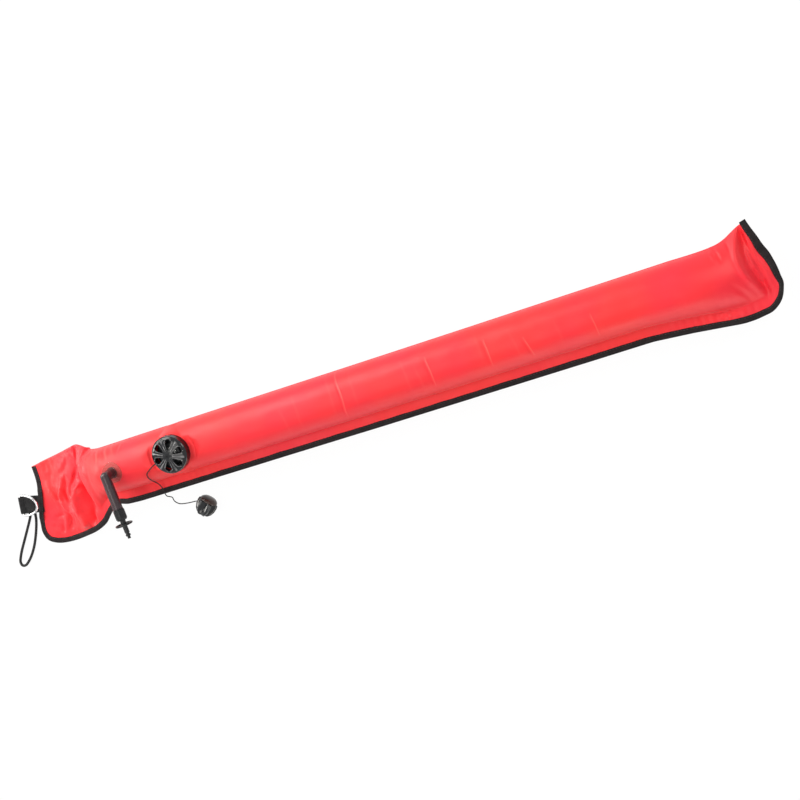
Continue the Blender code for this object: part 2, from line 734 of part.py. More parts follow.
def make_binding(ribs):
    path = binding_path(ribs)
    path[-1] = path[-1] + (path[-1] - path[-2]).normalized() * TAPE_END
    along = tail_axes()[1]
    root = Vector((WEBBING_X, WEBBING_Y))
    tail_points = ARC_STEPS + 3
    rings = []
    count = len(path)
    for i, point in enumerate(path):
        before = path[max(i - 1, 0)]
        after = path[min(i + 1, count - 1)]
        run = (after - before).normalized()
        inward = Vector((-run.y, run.x))
        offset = point - root
        aside = abs(offset.x * along.x + offset.y * along.y)
        swell = tab_swell(aside) if i < tail_points else 0.0
        inner = FABRIC + GAP + swell
        outer = inner + TAPE
        section = (
            (-GAP - TAPE, -outer),
            (-GAP - TAPE, outer),
            (TAPE_WIDTH, outer),
            (TAPE_WIDTH, inner),
            (-GAP, inner),
            (-GAP, -inner),
            (TAPE_WIDTH, -inner),
            (TAPE_WIDTH, -outer),
        )
        ring = []
        for across, height in section:
            place = point + inward * across
            middle = middle_height(place.x, place.y)
            ring.append(Vector((place.x, place.y, max(middle + height, 0.0))))
        rings.append(ring)
    bm = bmesh.new()
    rows = [[bm.verts.new(p) for p in ring] for ring in rings]
    size = len(rings[0])
    for a, b in zip(rows, rows[1:]):
        for i in range(size):
            j = (i + 1) % size
            bm.faces.new((a[i], a[j], b[j], b[i]))
    for row in (rows[0], rows[-1]):
        bm.faces.new((row[0], row[1], row[4], row[5]))
        bm.faces.new((row[1], row[2], row[3], row[4]))
        bm.faces.new((row[0], row[5], row[6], row[7]))
    return add_object("edge_binding", mesh_from(bm, "edge_binding"), BLACK_TAPE)


# Relief valve
def make_relief_valve(valve):
    flange_top = -FABRIC - GAP
    flange_low = flange_top - BASE_FLANGE
    base_mesh = turned("valve_base", (
        (NECK_OUTER, NECK_HEIGHT),
        (NECK_OUTER, flange_top),
        (BASE_FLANGE_RADIUS, flange_top),
        (BASE_FLANGE_RADIUS, flange_low),
        (NECK_INNER, flange_low),
        (NECK_INNER, NECK_HEIGHT),
    ))
    base = add_object("valve_base", base_mesh, BLACK_PLASTIC, parent=valve)
    guide_low = flange_low
    guide_high = guide_low + GUIDE_LENGTH
    join(base, spider_mesh(flange_low, flange_top), valve)
    hub = cone_mesh("guide", GUIDE_RADIUS, GUIDE_RADIUS, guide_low, guide_high, 20)
    join(base, hub, valve)
    bore = cone_mesh(
        "guide_bore", STEM_RADIUS + GAP, STEM_RADIUS + GAP,
        guide_low - OVERRUN, guide_high + OVERRUN, 16,
    )
    cut(base, bore, valve)

    gasket_low = GAP
    gasket_high = gasket_low + GASKET
    ring_inner = NECK_OUTER + GAP
    gasket = turned("valve_gasket", (
        (CLAMP_RADIUS, gasket_high),
        (CLAMP_RADIUS, gasket_low),
        (ring_inner, gasket_low),
        (ring_inner, gasket_high),
    ))
    add_object("valve_gasket", gasket, BLACK_RUBBER, parent=valve)

    clamp_low = gasket_high + GAP
    clamp_high = clamp_low + CLAMP_RING
    clamp_mesh = turned("clamp_ring", (
        (CLAMP_RADIUS - EDGE, clamp_high),
        (CLAMP_RADIUS, clamp_high - EDGE),
        (CLAMP_RADIUS, clamp_low),
        (ring_inner, clamp_low),
        (ring_inner, clamp_high),
    ))
    clamp = add_object("clamp_ring", clamp_mesh, BLACK_PLASTIC, parent=valve)
    for i in range(CLAMP_NOTCHES):
        angle = math.tau * (i + 0.5) / CLAMP_NOTCHES
        notch = cone_mesh(
            "notch", NOTCH_RADIUS, NOTCH_RADIUS, clamp_low - GAP / 2.0, clamp_high + OVERRUN, 8
        )
        cut(clamp, notch, valve, spin(angle) @ shift(CLAMP_RADIUS, 0.0, 0.0))

    seal_low = NECK_HEIGHT + GAP
    seal_high = seal_low + SEAL
    plate_low = seal_high + GAP
    plate_high = plate_low + PLATE
    seal = turned("poppet_seal", (
        (PLATE_RADIUS, seal_high),
        (PLATE_RADIUS, seal_low),
        (NECK_INNER - SEAL_OVERLAP, seal_low),
        (NECK_INNER - SEAL_OVERLAP, seal_high),
    ))
    add_object("poppet_seal", seal, BLACK_RUBBER, parent=valve)
    stem_end = flange_low - STEM_BELOW
    plate = turned("poppet_plate", (
        (0.0, plate_high + PLATE_BOSS),
        (PLATE_BOSS_RADIUS, plate_high + PLATE_BOSS),
        (PLATE_BOSS_RADIUS, plate_high),
        (PLATE_RADIUS - EDGE, plate_high),
        (PLATE_RADIUS, plate_high - EDGE),
        (PLATE_RADIUS, plate_low),
        (STEM_RADIUS + STEM_FILLET, plate_low),
        (STEM_RADIUS, plate_low - STEM_FILLET),
        (STEM_RADIUS, stem_end + EDGE),
        (STEM_RADIUS - EDGE, stem_end),
        (0.0, stem_end),
    ))
    add_object("poppet_plate", plate, BLACK_PLASTIC, parent=valve)

    dome_under = CAP_HEIGHT - EDGE - CAP_WALL
    spring_low = plate_high + GAP + RELIEF_WIRE
    spring_high = dome_under - GAP - RELIEF_WIRE
    coil = relief_coil(spring_low, spring_high)
    spring = tube_mesh("relief_spring", coil, RELIEF_WIRE, 1)
    add_object("relief_spring", spring, SPRING_STEEL, parent=valve)
    print("relief spring, least gap in mm:", round(least_gap(coil, RELIEF_WIRE) / MM, 2))
    make_valve_cap(valve, dome_under)


def spider_mesh(low, high):
    """Arms from the base's neck to the stem's guide, as one flat outline."""
    outline = []
    reach = (NECK_INNER + NECK_OUTER) / 2.0
    root = 0.8 * GUIDE_RADIUS
    half = SPIDER_WIDTH / 2.0
    for i in range(SPIDER_ARMS):
        turn = math.tau * i / SPIDER_ARMS
        for along, across in ((root, -half), (reach, -half), (reach, half), (root, half)):
            x = along * math.cos(turn) - across * math.sin(turn)
            y = along * math.sin(turn) + across * math.cos(turn)
            outline.append((x, y))
    mesh = outline_mesh("spider", outline, high - low)
    mesh.transform(shift(0.0, 0.0, (high + low) / 2.0))
    return mesh


def relief_coil(low, high):
    """Points of a conical spring with a flat half turn at each end."""
    points = []
    per_turn = 9
    steps = RELIEF_COILS * per_turn
    for i in range(steps + 1):
        share = i / steps
        angle = math.tau * RELIEF_COILS * share
        radius = RELIEF_COIL_WIDE + (RELIEF_COIL_NARROW - RELIEF_COIL_WIDE) * share
        flat = 0.5 / RELIEF_COILS
        climb = min(max((share - flat) / (1.0 - 2.0 * flat), 0.0), 1.0)
        height = low + (high - low) * climb
        points.append((radius * math.cos(angle), radius * math.sin(angle), height))
    return points


def least_gap(points, radius):
    """Least space between parts of a coil that lie more than half a turn apart."""
    nodes = [Vector(p) for p in points]
    least = 1.0
    for i, a in enumerate(nodes):
        for b in nodes[i + 5:]:
            least = min(least, (a - b).length - 2.0 * radius)
    return least


def make_valve_cap(valve, dome_under):
    low = GAP
    outer = CAP_RADIUS
    inner = CAP_RADIUS - CAP_WALL
    rim = CAP_SIDE
    dome = CAP_HEIGHT - EDGE
    cap_mesh = turned("valve_cap", (
        (0.0, CAP_HEIGHT - HUB_DEPTH),
        (HUB_RECESS, CAP_HEIGHT - HUB_DEPTH),
        (HUB_RECESS, CAP_HEIGHT),
        (HUB_RADIUS - EDGE, CAP_HEIGHT),
        (HUB_RADIUS, dome),
        (0.52 * outer, dome - 0.3 * SHELL_DROP),
        (0.82 * outer, dome - SHELL_DROP),
        (0.95 * outer, rim + 2.0 * EDGE),
        (outer, rim - EDGE),
        (outer, low),
        (inner, low),
        (inner, rim - 2.0 * EDGE),
        (0.80 * outer, dome_under - SHELL_DROP),
        (0.52 * outer, dome_under - 0.3 * SHELL_DROP),
        (0.0, dome_under),
    ), 36)
    cap = add_object("valve_cap", cap_mesh, GLOSS_BLACK, parent=valve)
    for i in range(WINDOWS):
        turn = spin(CAP_TURN + math.tau * (i + 0.5) / WINDOWS)
        window = window_mesh(rim - OVERRUN, CAP_HEIGHT + OVERRUN)
        cut(cap, window, valve, turn)
    for i in range(WINDOWS):
        turn = spin(CAP_TURN + math.tau * i / WINDOWS)
        join(cap, ridge_mesh(dome), valve, turn)
    for i in range(GRIP_GROOVES):
        turn = spin(math.tau * (i + 0.5) / GRIP_GROOVES)
        groove = cone_mesh("groove", GROOVE_RADIUS, GROOVE_RADIUS, 5.0 * GAP, rim - 2.0 * EDGE, 6)
        cut(cap, groove, valve, turn @ shift(CAP_RADIUS + 0.3 * GROOVE_RADIUS, 0.0, 0.0))
    hole = cone_mesh(
        "cord_hole", CORD_HOLE_RADIUS, CORD_HOLE_RADIUS, inner - OVERRUN, outer + OVERRUN, 12
    )
    place = spin(CORD_HOLE_ANGLE) @ shift(0.0, 0.0, CORD_HOLE_HEIGHT)
    cut(cap, hole, valve, place @ Matrix.Rotation(math.pi / 2.0, 4, "Y"))


def window_mesh(low, high):
    """Drop-shaped window between two spokes, widest near the rim."""
    left = [(radius, half) for radius, half in WINDOW_SHAPE]
    right = [(radius, -half) for radius, half in reversed(WINDOW_SHAPE)]
    mesh = outline_mesh("window", left + right, high - low)
    mesh.transform(shift(0.0, 0.0, (high + low) / 2.0))
    return mesh


def ridge_mesh(dome):
    """Three-sided ridge that runs down one spoke from the hub to the rim."""
    near = (HUB_RADIUS - EDGE, RIDGE_NEAR, dome - 2.0 * EDGE, dome + GAP)
    far_low = dome - 6.0 * EDGE
    far = (0.9 * CAP_RADIUS, RIDGE_FAR, far_low, far_low + RIDGE)
    bm = bmesh.new()
    ends = []
    for radius, half, low, high in (near, far):
        ends.append([
            bm.verts.new((radius, -half, low)),
            bm.verts.new((radius, half, low)),
            bm.verts.new((radius, 0.0, high)),
        ])
    bm.faces.new(ends[0])
    bm.faces.new(ends[1])
    for i in range(3):
        j = (i + 1) % 3
        bm.faces.new((ends[0][i], ends[0][j], ends[1][j], ends[1][i]))
    return mesh_from(bm, "ridge")


# Pull cord and knob
def cord_route():
    """The pull cord, from the hole in the cap over the tube's side to the knob."""
    angle = CORD_HOLE_ANGLE
    height = SEAT_Z + CORD_HOLE_HEIGHT
    start = CAP_RADIUS - CAP_WALL - 4.0 * MM
    leave = CAP_RADIUS + 4.0 * MM
    route = [
        (VALVE_X + start * math.cos(angle), start * math.sin(angle), height),
        (VALVE_X + leave * math.cos(angle), leave * math.sin(angle), height - 0.3 * MM),
    ]
    route += [(x * MM, y * MM, z * MM) for x, y, z in (
        (-325.5, -12.0, 71.6),
        (-333.0, -16.5, 69.0),
        (-336.0, -22.0, 65.3),
        (-336.0, -28.5, 59.2),
        (-335.5, -35.0, 49.5),
        (-335.2, -42.0, 42.0),
        (-334.6, -50.5, 39.0),
        (-334.6, -56.8, 38.7),
        (-334.9, -60.4, 35.5),
        (-337.0, -63.0, 27.0),
        (-341.5, -68.0, 11.0),
        (-345.5, -73.0, 2.6),
        (-345.0, -77.0, 1.1),
        (-339.0, -82.0, 1.0),
        (-329.0, -84.0, 1.2),
        (-320.5, -84.5, 2.6),
        (-313.5, -84.4, 5.0),
        (-307.0, -84.6, 7.4),
        (-302.3, -84.3, 8.8),
    )]
    return route


def make_cord_and_knob():
    knob, body = make_knob()
    mouth = knob.matrix_world @ Vector(CORD_MOUTH)
    centre = knob.matrix_world @ Vector((0.0, 0.0, CORD_MOUTH[2]))
    inside = mouth.lerp(centre, 0.3)
    route = [Vector(p) for p in cord_route()] + [mouth, inside]
    fine = catmull([tuple(p) for p in route], 12)
    points = even_points(fine, 5.6 * CORD_RADIUS)
    cord = tube_mesh("pull_cord", points, CORD_RADIUS, 2)
    add_object("pull_cord", cord, CORD_COVER)
    length = sum((b - a).length for a, b in zip(points, points[1:]))
    print("pull cord, length in mm:", round(length / MM, 1))
    radius = CORD_RADIUS + 2.0 * GAP
    hole = cone_mesh("cord_hole", radius, radius, -OVERRUN, KNOB_CAP_RADIUS, 12)
    aim = (mouth - centre).to_track_quat("Z", "Y").to_matrix().to_4x4()
    cut(body, hole, None, Matrix.Translation(inside) @ aim)


def fluted_mesh():
    """Lobed body of the knob, which narrows away from the cap."""
    sides = 8 * KNOB_LOBES
    bm = bmesh.new()
    rows = []
    for drop, reach in KNOB_PROFILE:
        ring = []
        for k in range(sides):
            angle = math.tau * k / sides
            wave = math.cos(KNOB_LOBES * angle)
            radius = reach * (1.0 - KNOB_FLUTE * (1.0 - wave) / 2.0)
            turned_angle = angle + KNOB_LOBE_TURN
            place = (radius * math.cos(turned_angle), radius * math.sin(turned_angle), -drop)
            ring.append(bm.verts.new(place))
        rows.append(ring)
    for a, b in zip(rows, rows[1:]):
        for k in range(sides):
            j = (k + 1) % sides
            bm.faces.new((a[k], a[j], b[j], b[k]))
    bm.faces.new(rows[0])
    bm.faces.new(rows[-1])
    return mesh_from(bm, "knob_body")


def make_knob():
    """A domed cap on a lobed body, lying on its side; +Z runs to the dome."""
    aim = Matrix.Rotation(KNOB_TURN, 4, "Z") @ Matrix.Rotation(math.pi / 2.0 - KNOB_TILT, 4, "Y")
    knob = empty("pull_knob", (0.0, 0.0, 0.0))
    body = add_object("knob_body", fluted_mesh(), GLOSS_BLACK, parent=knob)
    rim = KNOB_CAP_RADIUS - KNOB_CAP_STEP
    cap_mesh = turned("knob_cap", (
        (0.0, KNOB_CAP_HEIGHT),
        (0.45 * KNOB_CAP_RADIUS, 0.95 * KNOB_CAP_HEIGHT),
        (0.73 * KNOB_CAP_RADIUS, 0.80 * KNOB_CAP_HEIGHT),
        (rim, 0.48 * KNOB_CAP_HEIGHT),
        (rim, 0.36 * KNOB_CAP_HEIGHT),
        (KNOB_CAP_RADIUS, 0.32 * KNOB_CAP_HEIGHT),
        (KNOB_CAP_RADIUS, 0.12 * KNOB_CAP_HEIGHT),
        (rim, GAP),
        (0.0, GAP),
    ), 24)
    add_object("knob_cap", cap_mesh, GLOSS_BLACK, parent=knob)
    lowest = min((aim @ v.co).z for mesh in (body.data, cap_mesh) for v in mesh.vertices)
    knob.matrix_world = Matrix.Translation((KNOB_X, KNOB_Y, GAP - lowest)) @ aim
    bpy.context.view_layer.update()
    return knob, body


# Oral inflator
def elbow_mesh(name, radius, low, end):
    """Pipe that goes up from low, turns in a tight elbow and runs along -Y."""
    sides = 24
    bm = bmesh.new()
    rows = []
    for ring in range(5):
        row = []
        for i in range(sides):
            angle = math.tau * i / sides
            x = radius * math.cos(angle)
            reach = radius * math.sin(angle)
            outer = (1.0 + reach / radius) / 2.0
            trim = ELBOW_CORNER * radius * outer
            mid = reach * (1.0 - (1.0 - ELBOW_ROUND) * outer)
            y, z = (
                (reach, low - HOSE_HEIGHT),
                (reach, reach - trim),
                (mid, mid),
                (reach - trim, reach),
                (end, reach),
            )[ring]
            row.append(bm.verts.new((INFLATOR_X + x, y, HOSE_HEIGHT + z)))
        rows.append(row)
    for a, b in zip(rows, rows[1:]):
        for i in range(sides):
            j = (i + 1) % sides
            bm.faces.new((a[i], a[j], b[j], b[i]))
    bm.faces.new(rows[0])
    bm.faces.new(rows[-1])
    return mesh_from(bm, name)


def make_inflator():
    saddle_gap = TUBE_RADIUS + GAP
    disc = cone_mesh("saddle", FLANGE_RADIUS, FLANGE_RADIUS, TUBE_MIDDLE, CREST + 2.0 * FLANGE, 36)
    elbow = add_object("inflator_elbow", disc, SMOKY_HOSE, place=shift(INFLATOR_X, 0.0, 0.0))
    along_x = Matrix.Rotation(math.pi / 2.0, 4, "Y")
    place = shift(INFLATOR_X, 0.0, TUBE_MIDDLE) @ along_x
    reach = FLANGE_RADIUS + OVERRUN
    outer = cone_mesh("saddle_outer", saddle_gap + FLANGE, saddle_gap + FLANGE, -reach, reach, 64)
    combine(elbow, tool(outer, None, place), "INTERSECT")
    inner = cone_mesh("saddle_inner", saddle_gap, saddle_gap, -reach, reach, 64)
    cut(elbow, inner, None, place)
    join(elbow, elbow_mesh("pipe", HOSE_RADIUS, CREST + ELBOW_CLEAR, HOSE_END_Y))
    cut(elbow, elbow_mesh("bore", HOSE_BORE, CREST - OVERRUN, HOSE_END_Y - OVERRUN))

    axis = empty("inflator_axis", (INFLATOR_X, HOSE_END_Y, HOSE_HEIGHT), (math.pi / 2.0, 0.0, 0.0))
    spigot = HOSE_BORE - GAP
    barrel_start = GAP
    barrel_end = BARREL_LENGTH
    housing = turned("inflator_housing", (
        (BARREL_RADIUS, barrel_end),
        (BARREL_RADIUS, barrel_start + SHOULDER),
        (COLLAR_RADIUS - EDGE, barrel_start + SHOULDER),
        (COLLAR_RADIUS - EDGE, barrel_start),
        (spigot, barrel_start),
        (spigot, -SPIGOT_LENGTH + EDGE),
        (spigot - EDGE, -SPIGOT_LENGTH),
        (SPIGOT_BORE, -SPIGOT_LENGTH),
        (SPIGOT_BORE, -SPRING_CHAMBER),
        (STEM_BORE, -SPRING_CHAMBER),
        (STEM_BORE, barrel_end),
    ), 24)
    add_object("inflator_housing", housing, BLACK_PLASTIC, parent=axis)

    collar_inner = BARREL_RADIUS + GAP
    collar_start = barrel_start + SHOULDER + GAP
    collar_end = barrel_end + GAP
    collar_mesh = turned("lock_collar", (
        (COLLAR_RADIUS - 2.0 * EDGE, collar_end),
        (COLLAR_RADIUS, collar_end - COLLAR_CHAMFER),
        (COLLAR_RADIUS, collar_start),
        (collar_inner, collar_start),
        (collar_inner, collar_end),
    ), 28)
    collar = add_object("lock_collar", collar_mesh, BLACK_PLASTIC, parent=axis)
    flute_start = collar_start + FLUTE_MARGIN
    flute_end = collar_end - COLLAR_CHAMFER - FLUTE_MARGIN
    for i in range(COLLAR_FLUTES):
        flute = cone_mesh("flute", FLUTE_RADIUS, FLUTE_RADIUS, flute_start, flute_end, 6)
        turn = spin(math.tau * i / COLLAR_FLUTES)
        cut(collar, flute, axis, turn @ shift(COLLAR_RADIUS + 0.3 * FLUTE_RADIUS, 0.0, 0.0))
    make_mouthpiece(axis)


def make_mouthpiece(axis):
    waist = TUBE_STEM_RADIUS - WAIST
    waist_start = STEM_START + STEM_LAND
    waist_end = waist_start + WAIST_LENGTH
    port = waist_start + WAIST_LENGTH - PORT_RADIUS
    blind = waist_start + GAP
    stem_mesh = turned("mouthpiece", (
        (AIR_BORE, TIP_END),
        (TIP_RADIUS, TIP_END),
        (TIP_RADIUS, TIP_START),
        (NOZZLE_RADIUS, TIP_START),
        (NOZZLE_RADIUS, NOZZLE_END + OVERRUN),
        (NOZZLE_GROOVE, NOZZLE_END + OVERRUN),
        (NOZZLE_GROOVE, NOZZLE_END),
        (NOZZLE_RADIUS, NOZZLE_END),
        (NOZZLE_RADIUS, WING_END + 2.0 * EDGE),
        (WING_HUB, WING_END),
        (WING_HUB, WING_START),
        (TUBE_STEM_RADIUS, WING_START),
        (TUBE_STEM_RADIUS, waist_end + EDGE),
        (waist, waist_end),
        (waist, waist_start),
        (TUBE_STEM_RADIUS, waist_start),
        (TUBE_STEM_RADIUS, STEM_START),
        (ROD_RADIUS + GAP, STEM_START),
        (ROD_RADIUS + GAP, blind),
        (AIR_BORE, blind),
    ), 20)
    mouthpiece = add_object("mouthpiece", stem_mesh, BLACK_PLASTIC, parent=axis)
    rim = turned("wing_rim", (
        (WING_RADIUS - EDGE, WING_END),
        (WING_RADIUS, WING_END - EDGE),
        (WING_RADIUS, WING_START + EDGE),
        (WING_RADIUS - EDGE, WING_START),
        (WING_RADIUS - WING_RIM, WING_START),
        (WING_RADIUS - WING_RIM, WING_END),
    ), 24)
    join(mouthpiece, rim, axis)
    for i in range(WING_SPOKES):
        spoke = box_mesh(
            "wing_spoke",
            (WING_HUB - EDGE, -SPOKE_HALF, WING_START + EDGE / 2.0),
            (WING_RADIUS - WING_RIM / 2.0, SPOKE_HALF, WING_END - EDGE / 2.0),
        )
        join(mouthpiece, spoke, axis, spin(math.tau * (i + 0.75) / WING_SPOKES))
    cross = cone_mesh("air_port", PORT_RADIUS, PORT_RADIUS, -WING_HUB, WING_HUB, 10)
    place = shift(0.0, 0.0, port) @ Matrix.Rotation(math.pi / 2.0, 4, "Y")
    cut(mouthpiece, cross, axis, place)

    seal_high = -SPIGOT_LENGTH - GAP
    seal_low = seal_high - SEAL
    disc_high = seal_low - GAP
    disc_low = disc_high - VALVE_DISC
    rod_end = blind - GAP
    poppet = turned("inflator_poppet", (
        (0.0, rod_end),
        (ROD_RADIUS, rod_end),
        (ROD_RADIUS, disc_high),
        (VALVE_DISC_RADIUS, disc_high),
        (VALVE_DISC_RADIUS, disc_low),
        (0.0, disc_low),
    ), 24)
    add_object("inflator_poppet", poppet, BLACK_PLASTIC, parent=axis)
    seal = turned("inflator_seal", (
        (VALVE_DISC_RADIUS - EDGE / 2.0, seal_high),
        (VALVE_DISC_RADIUS - EDGE / 2.0, seal_low),
        (ROD_RADIUS + GAP, seal_low),
        (ROD_RADIUS + GAP, seal_high),
    ), 24)
    add_object("inflator_seal", seal, BLACK_RUBBER, parent=axis)

    coil_low = -SPRING_CHAMBER + GAP + INFLATOR_SPRING_WIRE
    coil_high = STEM_START - GAP - INFLATOR_SPRING_WIRE
    coil = []
    per_turn = 9
    steps = INFLATOR_SPRING_COILS * per_turn
    for i in range(steps + 1):
        share = i / steps
        angle = math.tau * INFLATOR_SPRING_COILS * share
        coil.append((
            INFLATOR_SPRING_RADIUS * math.cos(angle),
            INFLATOR_SPRING_RADIUS * math.sin(angle),
            coil_low + (coil_high - coil_low) * share,
        ))
    spring = tube_mesh("mouthpiece_spring", coil, INFLATOR_SPRING_WIRE, 1)
    add_object("mouthpiece_spring", spring, SPRING_STEEL, parent=axis)
    gap = least_gap(coil, INFLATOR_SPRING_WIRE)
    print("mouthpiece spring, least gap in mm:", round(gap / MM, 2))


# Webbing tab, D-ring and bungee loop
def make_tail_hardware(binding):
    tab = empty("tab_frame", (WEBBING_X, WEBBING_Y, 0.0), (0.0, 0.0, WEBBING_ANGLE))
    middle = middle_height(WEBBING_X, WEBBING_Y)
    slot_half = FABRIC + GAP + WEBBING + SLOT_PLAY
    slot = box_mesh(
        "webbing_slot",
        (-SLOT_REACH, -WEBBING_WIDTH / 2.0 - GAP, middle - slot_half),
        (SLOT_REACH, WEBBING_WIDTH / 2.0 + GAP, middle + slot_half),
    )
    cut(binding, slot, tab)
    fold_radius = RING_WIRE + GAP + WEBBING / 2.0
    bar_x = WEBBING_REACH - fold_radius - WEBBING / 2.0
    side = webbing_line(bar_x, fold_radius)
    strap = strap_mesh("webbing_tab", side, WEBBING, WEBBING_WIDTH)
    add_object("webbing_tab", strap, BLACK_WEBBING, parent=tab)
    hinge = empty("ring_hinge", (bar_x, 0.0, BAR_HEIGHT), (0.0, -RING_TILT, math.pi), tab)
    ring = closed_tube("d_ring", ring_outline(), RING_WIRE, 10)
    add_object("d_ring", ring, CHROME, parent=hinge)
    bpy.context.view_layer.update()
    print("ring hinge at", [round(v, 6) for v in hinge.matrix_world.translation])


def webbing_line(bar_x, fold_radius):
    """Middle line of the strap, from its upper root round the bar to the lower."""
    root_height = middle_height(WEBBING_X, WEBBING_Y)
    lift = FABRIC + GAP + WEBBING / 2.0
    steps = 12
    near_strand = BUNGEE_PLACE - BUNGEE_SPACING / 2.0
    far_strand = BUNGEE_PLACE + BUNGEE_SPACING / 2.0
    over = BAR_HEIGHT + WEBBING / 2.0
    under = WEBBING / 2.0 + GAP
    upper = [
        (-WEBBING_ROOT, root_height + lift),
        (SLOT_REACH, root_height + lift),
        (near_strand - BUNGEE_RADIUS, over),
        (far_strand + BUNGEE_RADIUS, over),
    ]
    turn = []
    for i in range(steps + 1):
        angle = (math.pi / 2.0 + FOLD_WRAP) * (1.0 - 2.0 * i / steps)
        turn.append((
            bar_x + fold_radius * math.cos(angle),
            BAR_HEIGHT + fold_radius * math.sin(angle),
        ))
    lower = [
        (far_strand + BUNGEE_RADIUS, under),
        (near_strand - BUNGEE_RADIUS, under),
        (SLOT_REACH, root_height - lift),
        (-WEBBING_ROOT, root_height - lift),
    ]
    return upper + turn + lower


def strap_mesh(name, line, thickness, width):
    """Strap of even thickness along a line in XZ, its width centred on Y."""
    bm = bmesh.new()
    nodes = [Vector(p) for p in line]
    count = len(nodes)
    rows = []
    for i, node in enumerate(nodes):
        before = nodes[max(i - 1, 0)]
        after = nodes[min(i + 1, count - 1)]
        run = (after - before).normalized()
        normal = Vector((-run.y, run.x)) * thickness / 2.0
        ring = []
        for across, along in ((-1, -1), (-1, 1), (1, 1), (1, -1)):
            place = node + normal * along
            ring.append(bm.verts.new((place.x, across * width / 2.0, place.y)))
        rows.append(ring)
    for a, b in zip(rows, rows[1:]):
        for i in range(4):
            j = (i + 1) % 4
            bm.faces.new((a[i], a[j], b[j], b[i]))
    bm.faces.new(rows[0])
    bm.faces.new(rows[-1])
    return mesh_from(bm, name)


def ring_outline():
    """Middle line of the D, starting and ending in the middle of its bar."""
    half = RING_INSIDE / 2.0 + RING_WIRE
    corner = RING_CORNER
    points = [(0.0, 0.0), (0.0, half - corner)]
    for i in range(1, 5):
        angle = math.pi / 2.0 * i / 4
        points.append((corner - corner * math.cos(angle), half - corner + corner * math.sin(angle)))
    steps = 14
    crown = RING_DEPTH - corner
    for i in range(1, steps):
        angle = math.pi / 2.0 - math.pi * i / steps
        points.append((corner + crown * math.cos(angle), half * math.sin(angle)))
    for i in range(4, 0, -1):
        angle = math.pi / 2.0 * i / 4
        points.append((corner - corner * math.cos(angle), -half + corner - corner * math.sin(angle)))
    points.append((0.0, -half + corner))
    return points


def closed_tube(name, points, radius, sides):
    """Closed ring of wire: a round section swept along a closed flat line."""
    bm = bmesh.new()
    nodes = [Vector((x, y, 0.0)) for x, y in points]
    count = len(nodes)
    rows = []
    for i, node in enumerate(nodes):
        run = (nodes[(i + 1) % count] - nodes[i - 1]).normalized()
        side = Vector((run.y, -run.x, 0.0))
        ring = []
        for k in range(sides):
            angle = math.tau * k / sides
            offset = side * math.cos(angle) + Vector((0.0, 0.0, 1.0)) * math.sin(angle)
            ring.append(bm.verts.new(node + offset * radius))
        rows.append(ring)
    for i in range(count):
        a = rows[i]
        b = rows[(i + 1) % count]
        for k in range(sides):
            j = (k + 1) % sides
            bm.faces.new((a[k], a[j], b[j], b[k]))
    return mesh_from(bm, name)


def bungee_route():
    """One loop on the floor, both ends between the two legs of the webbing."""
    out, along = tail_axes()
    root = Vector((WEBBING_X, WEBBING_Y, 0.0))
    ends = []
    for offset in (BUNGEE_SPACING / 2.0, -BUNGEE_SPACING / 2.0):
        strand = root + out * (BUNGEE_PLACE + offset)
        inside = strand + along * BUNGEE_RADIUS
        edge = strand + along * (WEBBING_WIDTH / 2.0 + 3.0 * MM)
        ends.append(((inside.x, inside.y, BUNGEE_HEIGHT), (edge.x, edge.y, BUNGEE_HEIGHT)))
    floor = BUNGEE_RADIUS + GAP
    loop = [(x * MM, y * MM, floor) for x, y in (
        (-584.5, -40.0),
        (-592.5, -50.0),
        (-603.0, -63.0),
        (-615.0, -77.8),
        (-622.0, -87.8),
        (-625.6, -95.0),
        (-624.6, -100.9),
        (-619.0, -102.0),
        (-611.8, -97.8),
        (-602.3, -89.3),
        (-591.6, -76.2),
        (-581.0, -59.0),
        (-573.0, -42.5),
    )]
    return [ends[0][0], ends[0][1]] + loop + [ends[1][1], ends[1][0]]


def make_bungee():
    fine = catmull(bungee_route(), 10)
    points = even_points(fine, 3.0 * BUNGEE_RADIUS)
    loop = tube_mesh("bungee_loop", points, BUNGEE_RADIUS, 2)
    add_object("bungee_loop", loop, BUNGEE_COVER)
    length = sum((b - a).length for a, b in zip(points, points[1:]))
    print("bungee loop, length in mm:", round(length / MM, 1))


ribs, valve = make_envelope()
binding = make_binding(ribs)
make_relief_valve(valve)
make_cord_and_knob()
make_inflator()
make_tail_hardware(binding)
make_bungee()
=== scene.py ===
"""Looks for the surface marker buoy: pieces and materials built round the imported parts."""

import math

import bmesh
import bpy
import numpy as np
from mathutils import Matrix, Vector
from mathutils.bvhtree import BVHTree


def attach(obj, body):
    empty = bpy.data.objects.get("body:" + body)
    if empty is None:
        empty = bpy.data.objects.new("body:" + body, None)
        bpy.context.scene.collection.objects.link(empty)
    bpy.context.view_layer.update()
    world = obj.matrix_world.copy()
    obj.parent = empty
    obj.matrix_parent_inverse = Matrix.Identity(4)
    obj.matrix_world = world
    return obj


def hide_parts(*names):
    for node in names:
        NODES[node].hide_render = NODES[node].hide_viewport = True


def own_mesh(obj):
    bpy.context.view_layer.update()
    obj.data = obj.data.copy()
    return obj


MM = 0.001
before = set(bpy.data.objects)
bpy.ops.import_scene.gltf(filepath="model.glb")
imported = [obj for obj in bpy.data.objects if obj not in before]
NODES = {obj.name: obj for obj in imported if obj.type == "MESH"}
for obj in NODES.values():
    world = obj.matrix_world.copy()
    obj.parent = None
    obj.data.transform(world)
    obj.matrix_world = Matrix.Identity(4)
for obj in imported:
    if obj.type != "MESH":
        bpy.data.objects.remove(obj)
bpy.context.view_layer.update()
scene = bpy.context.scene

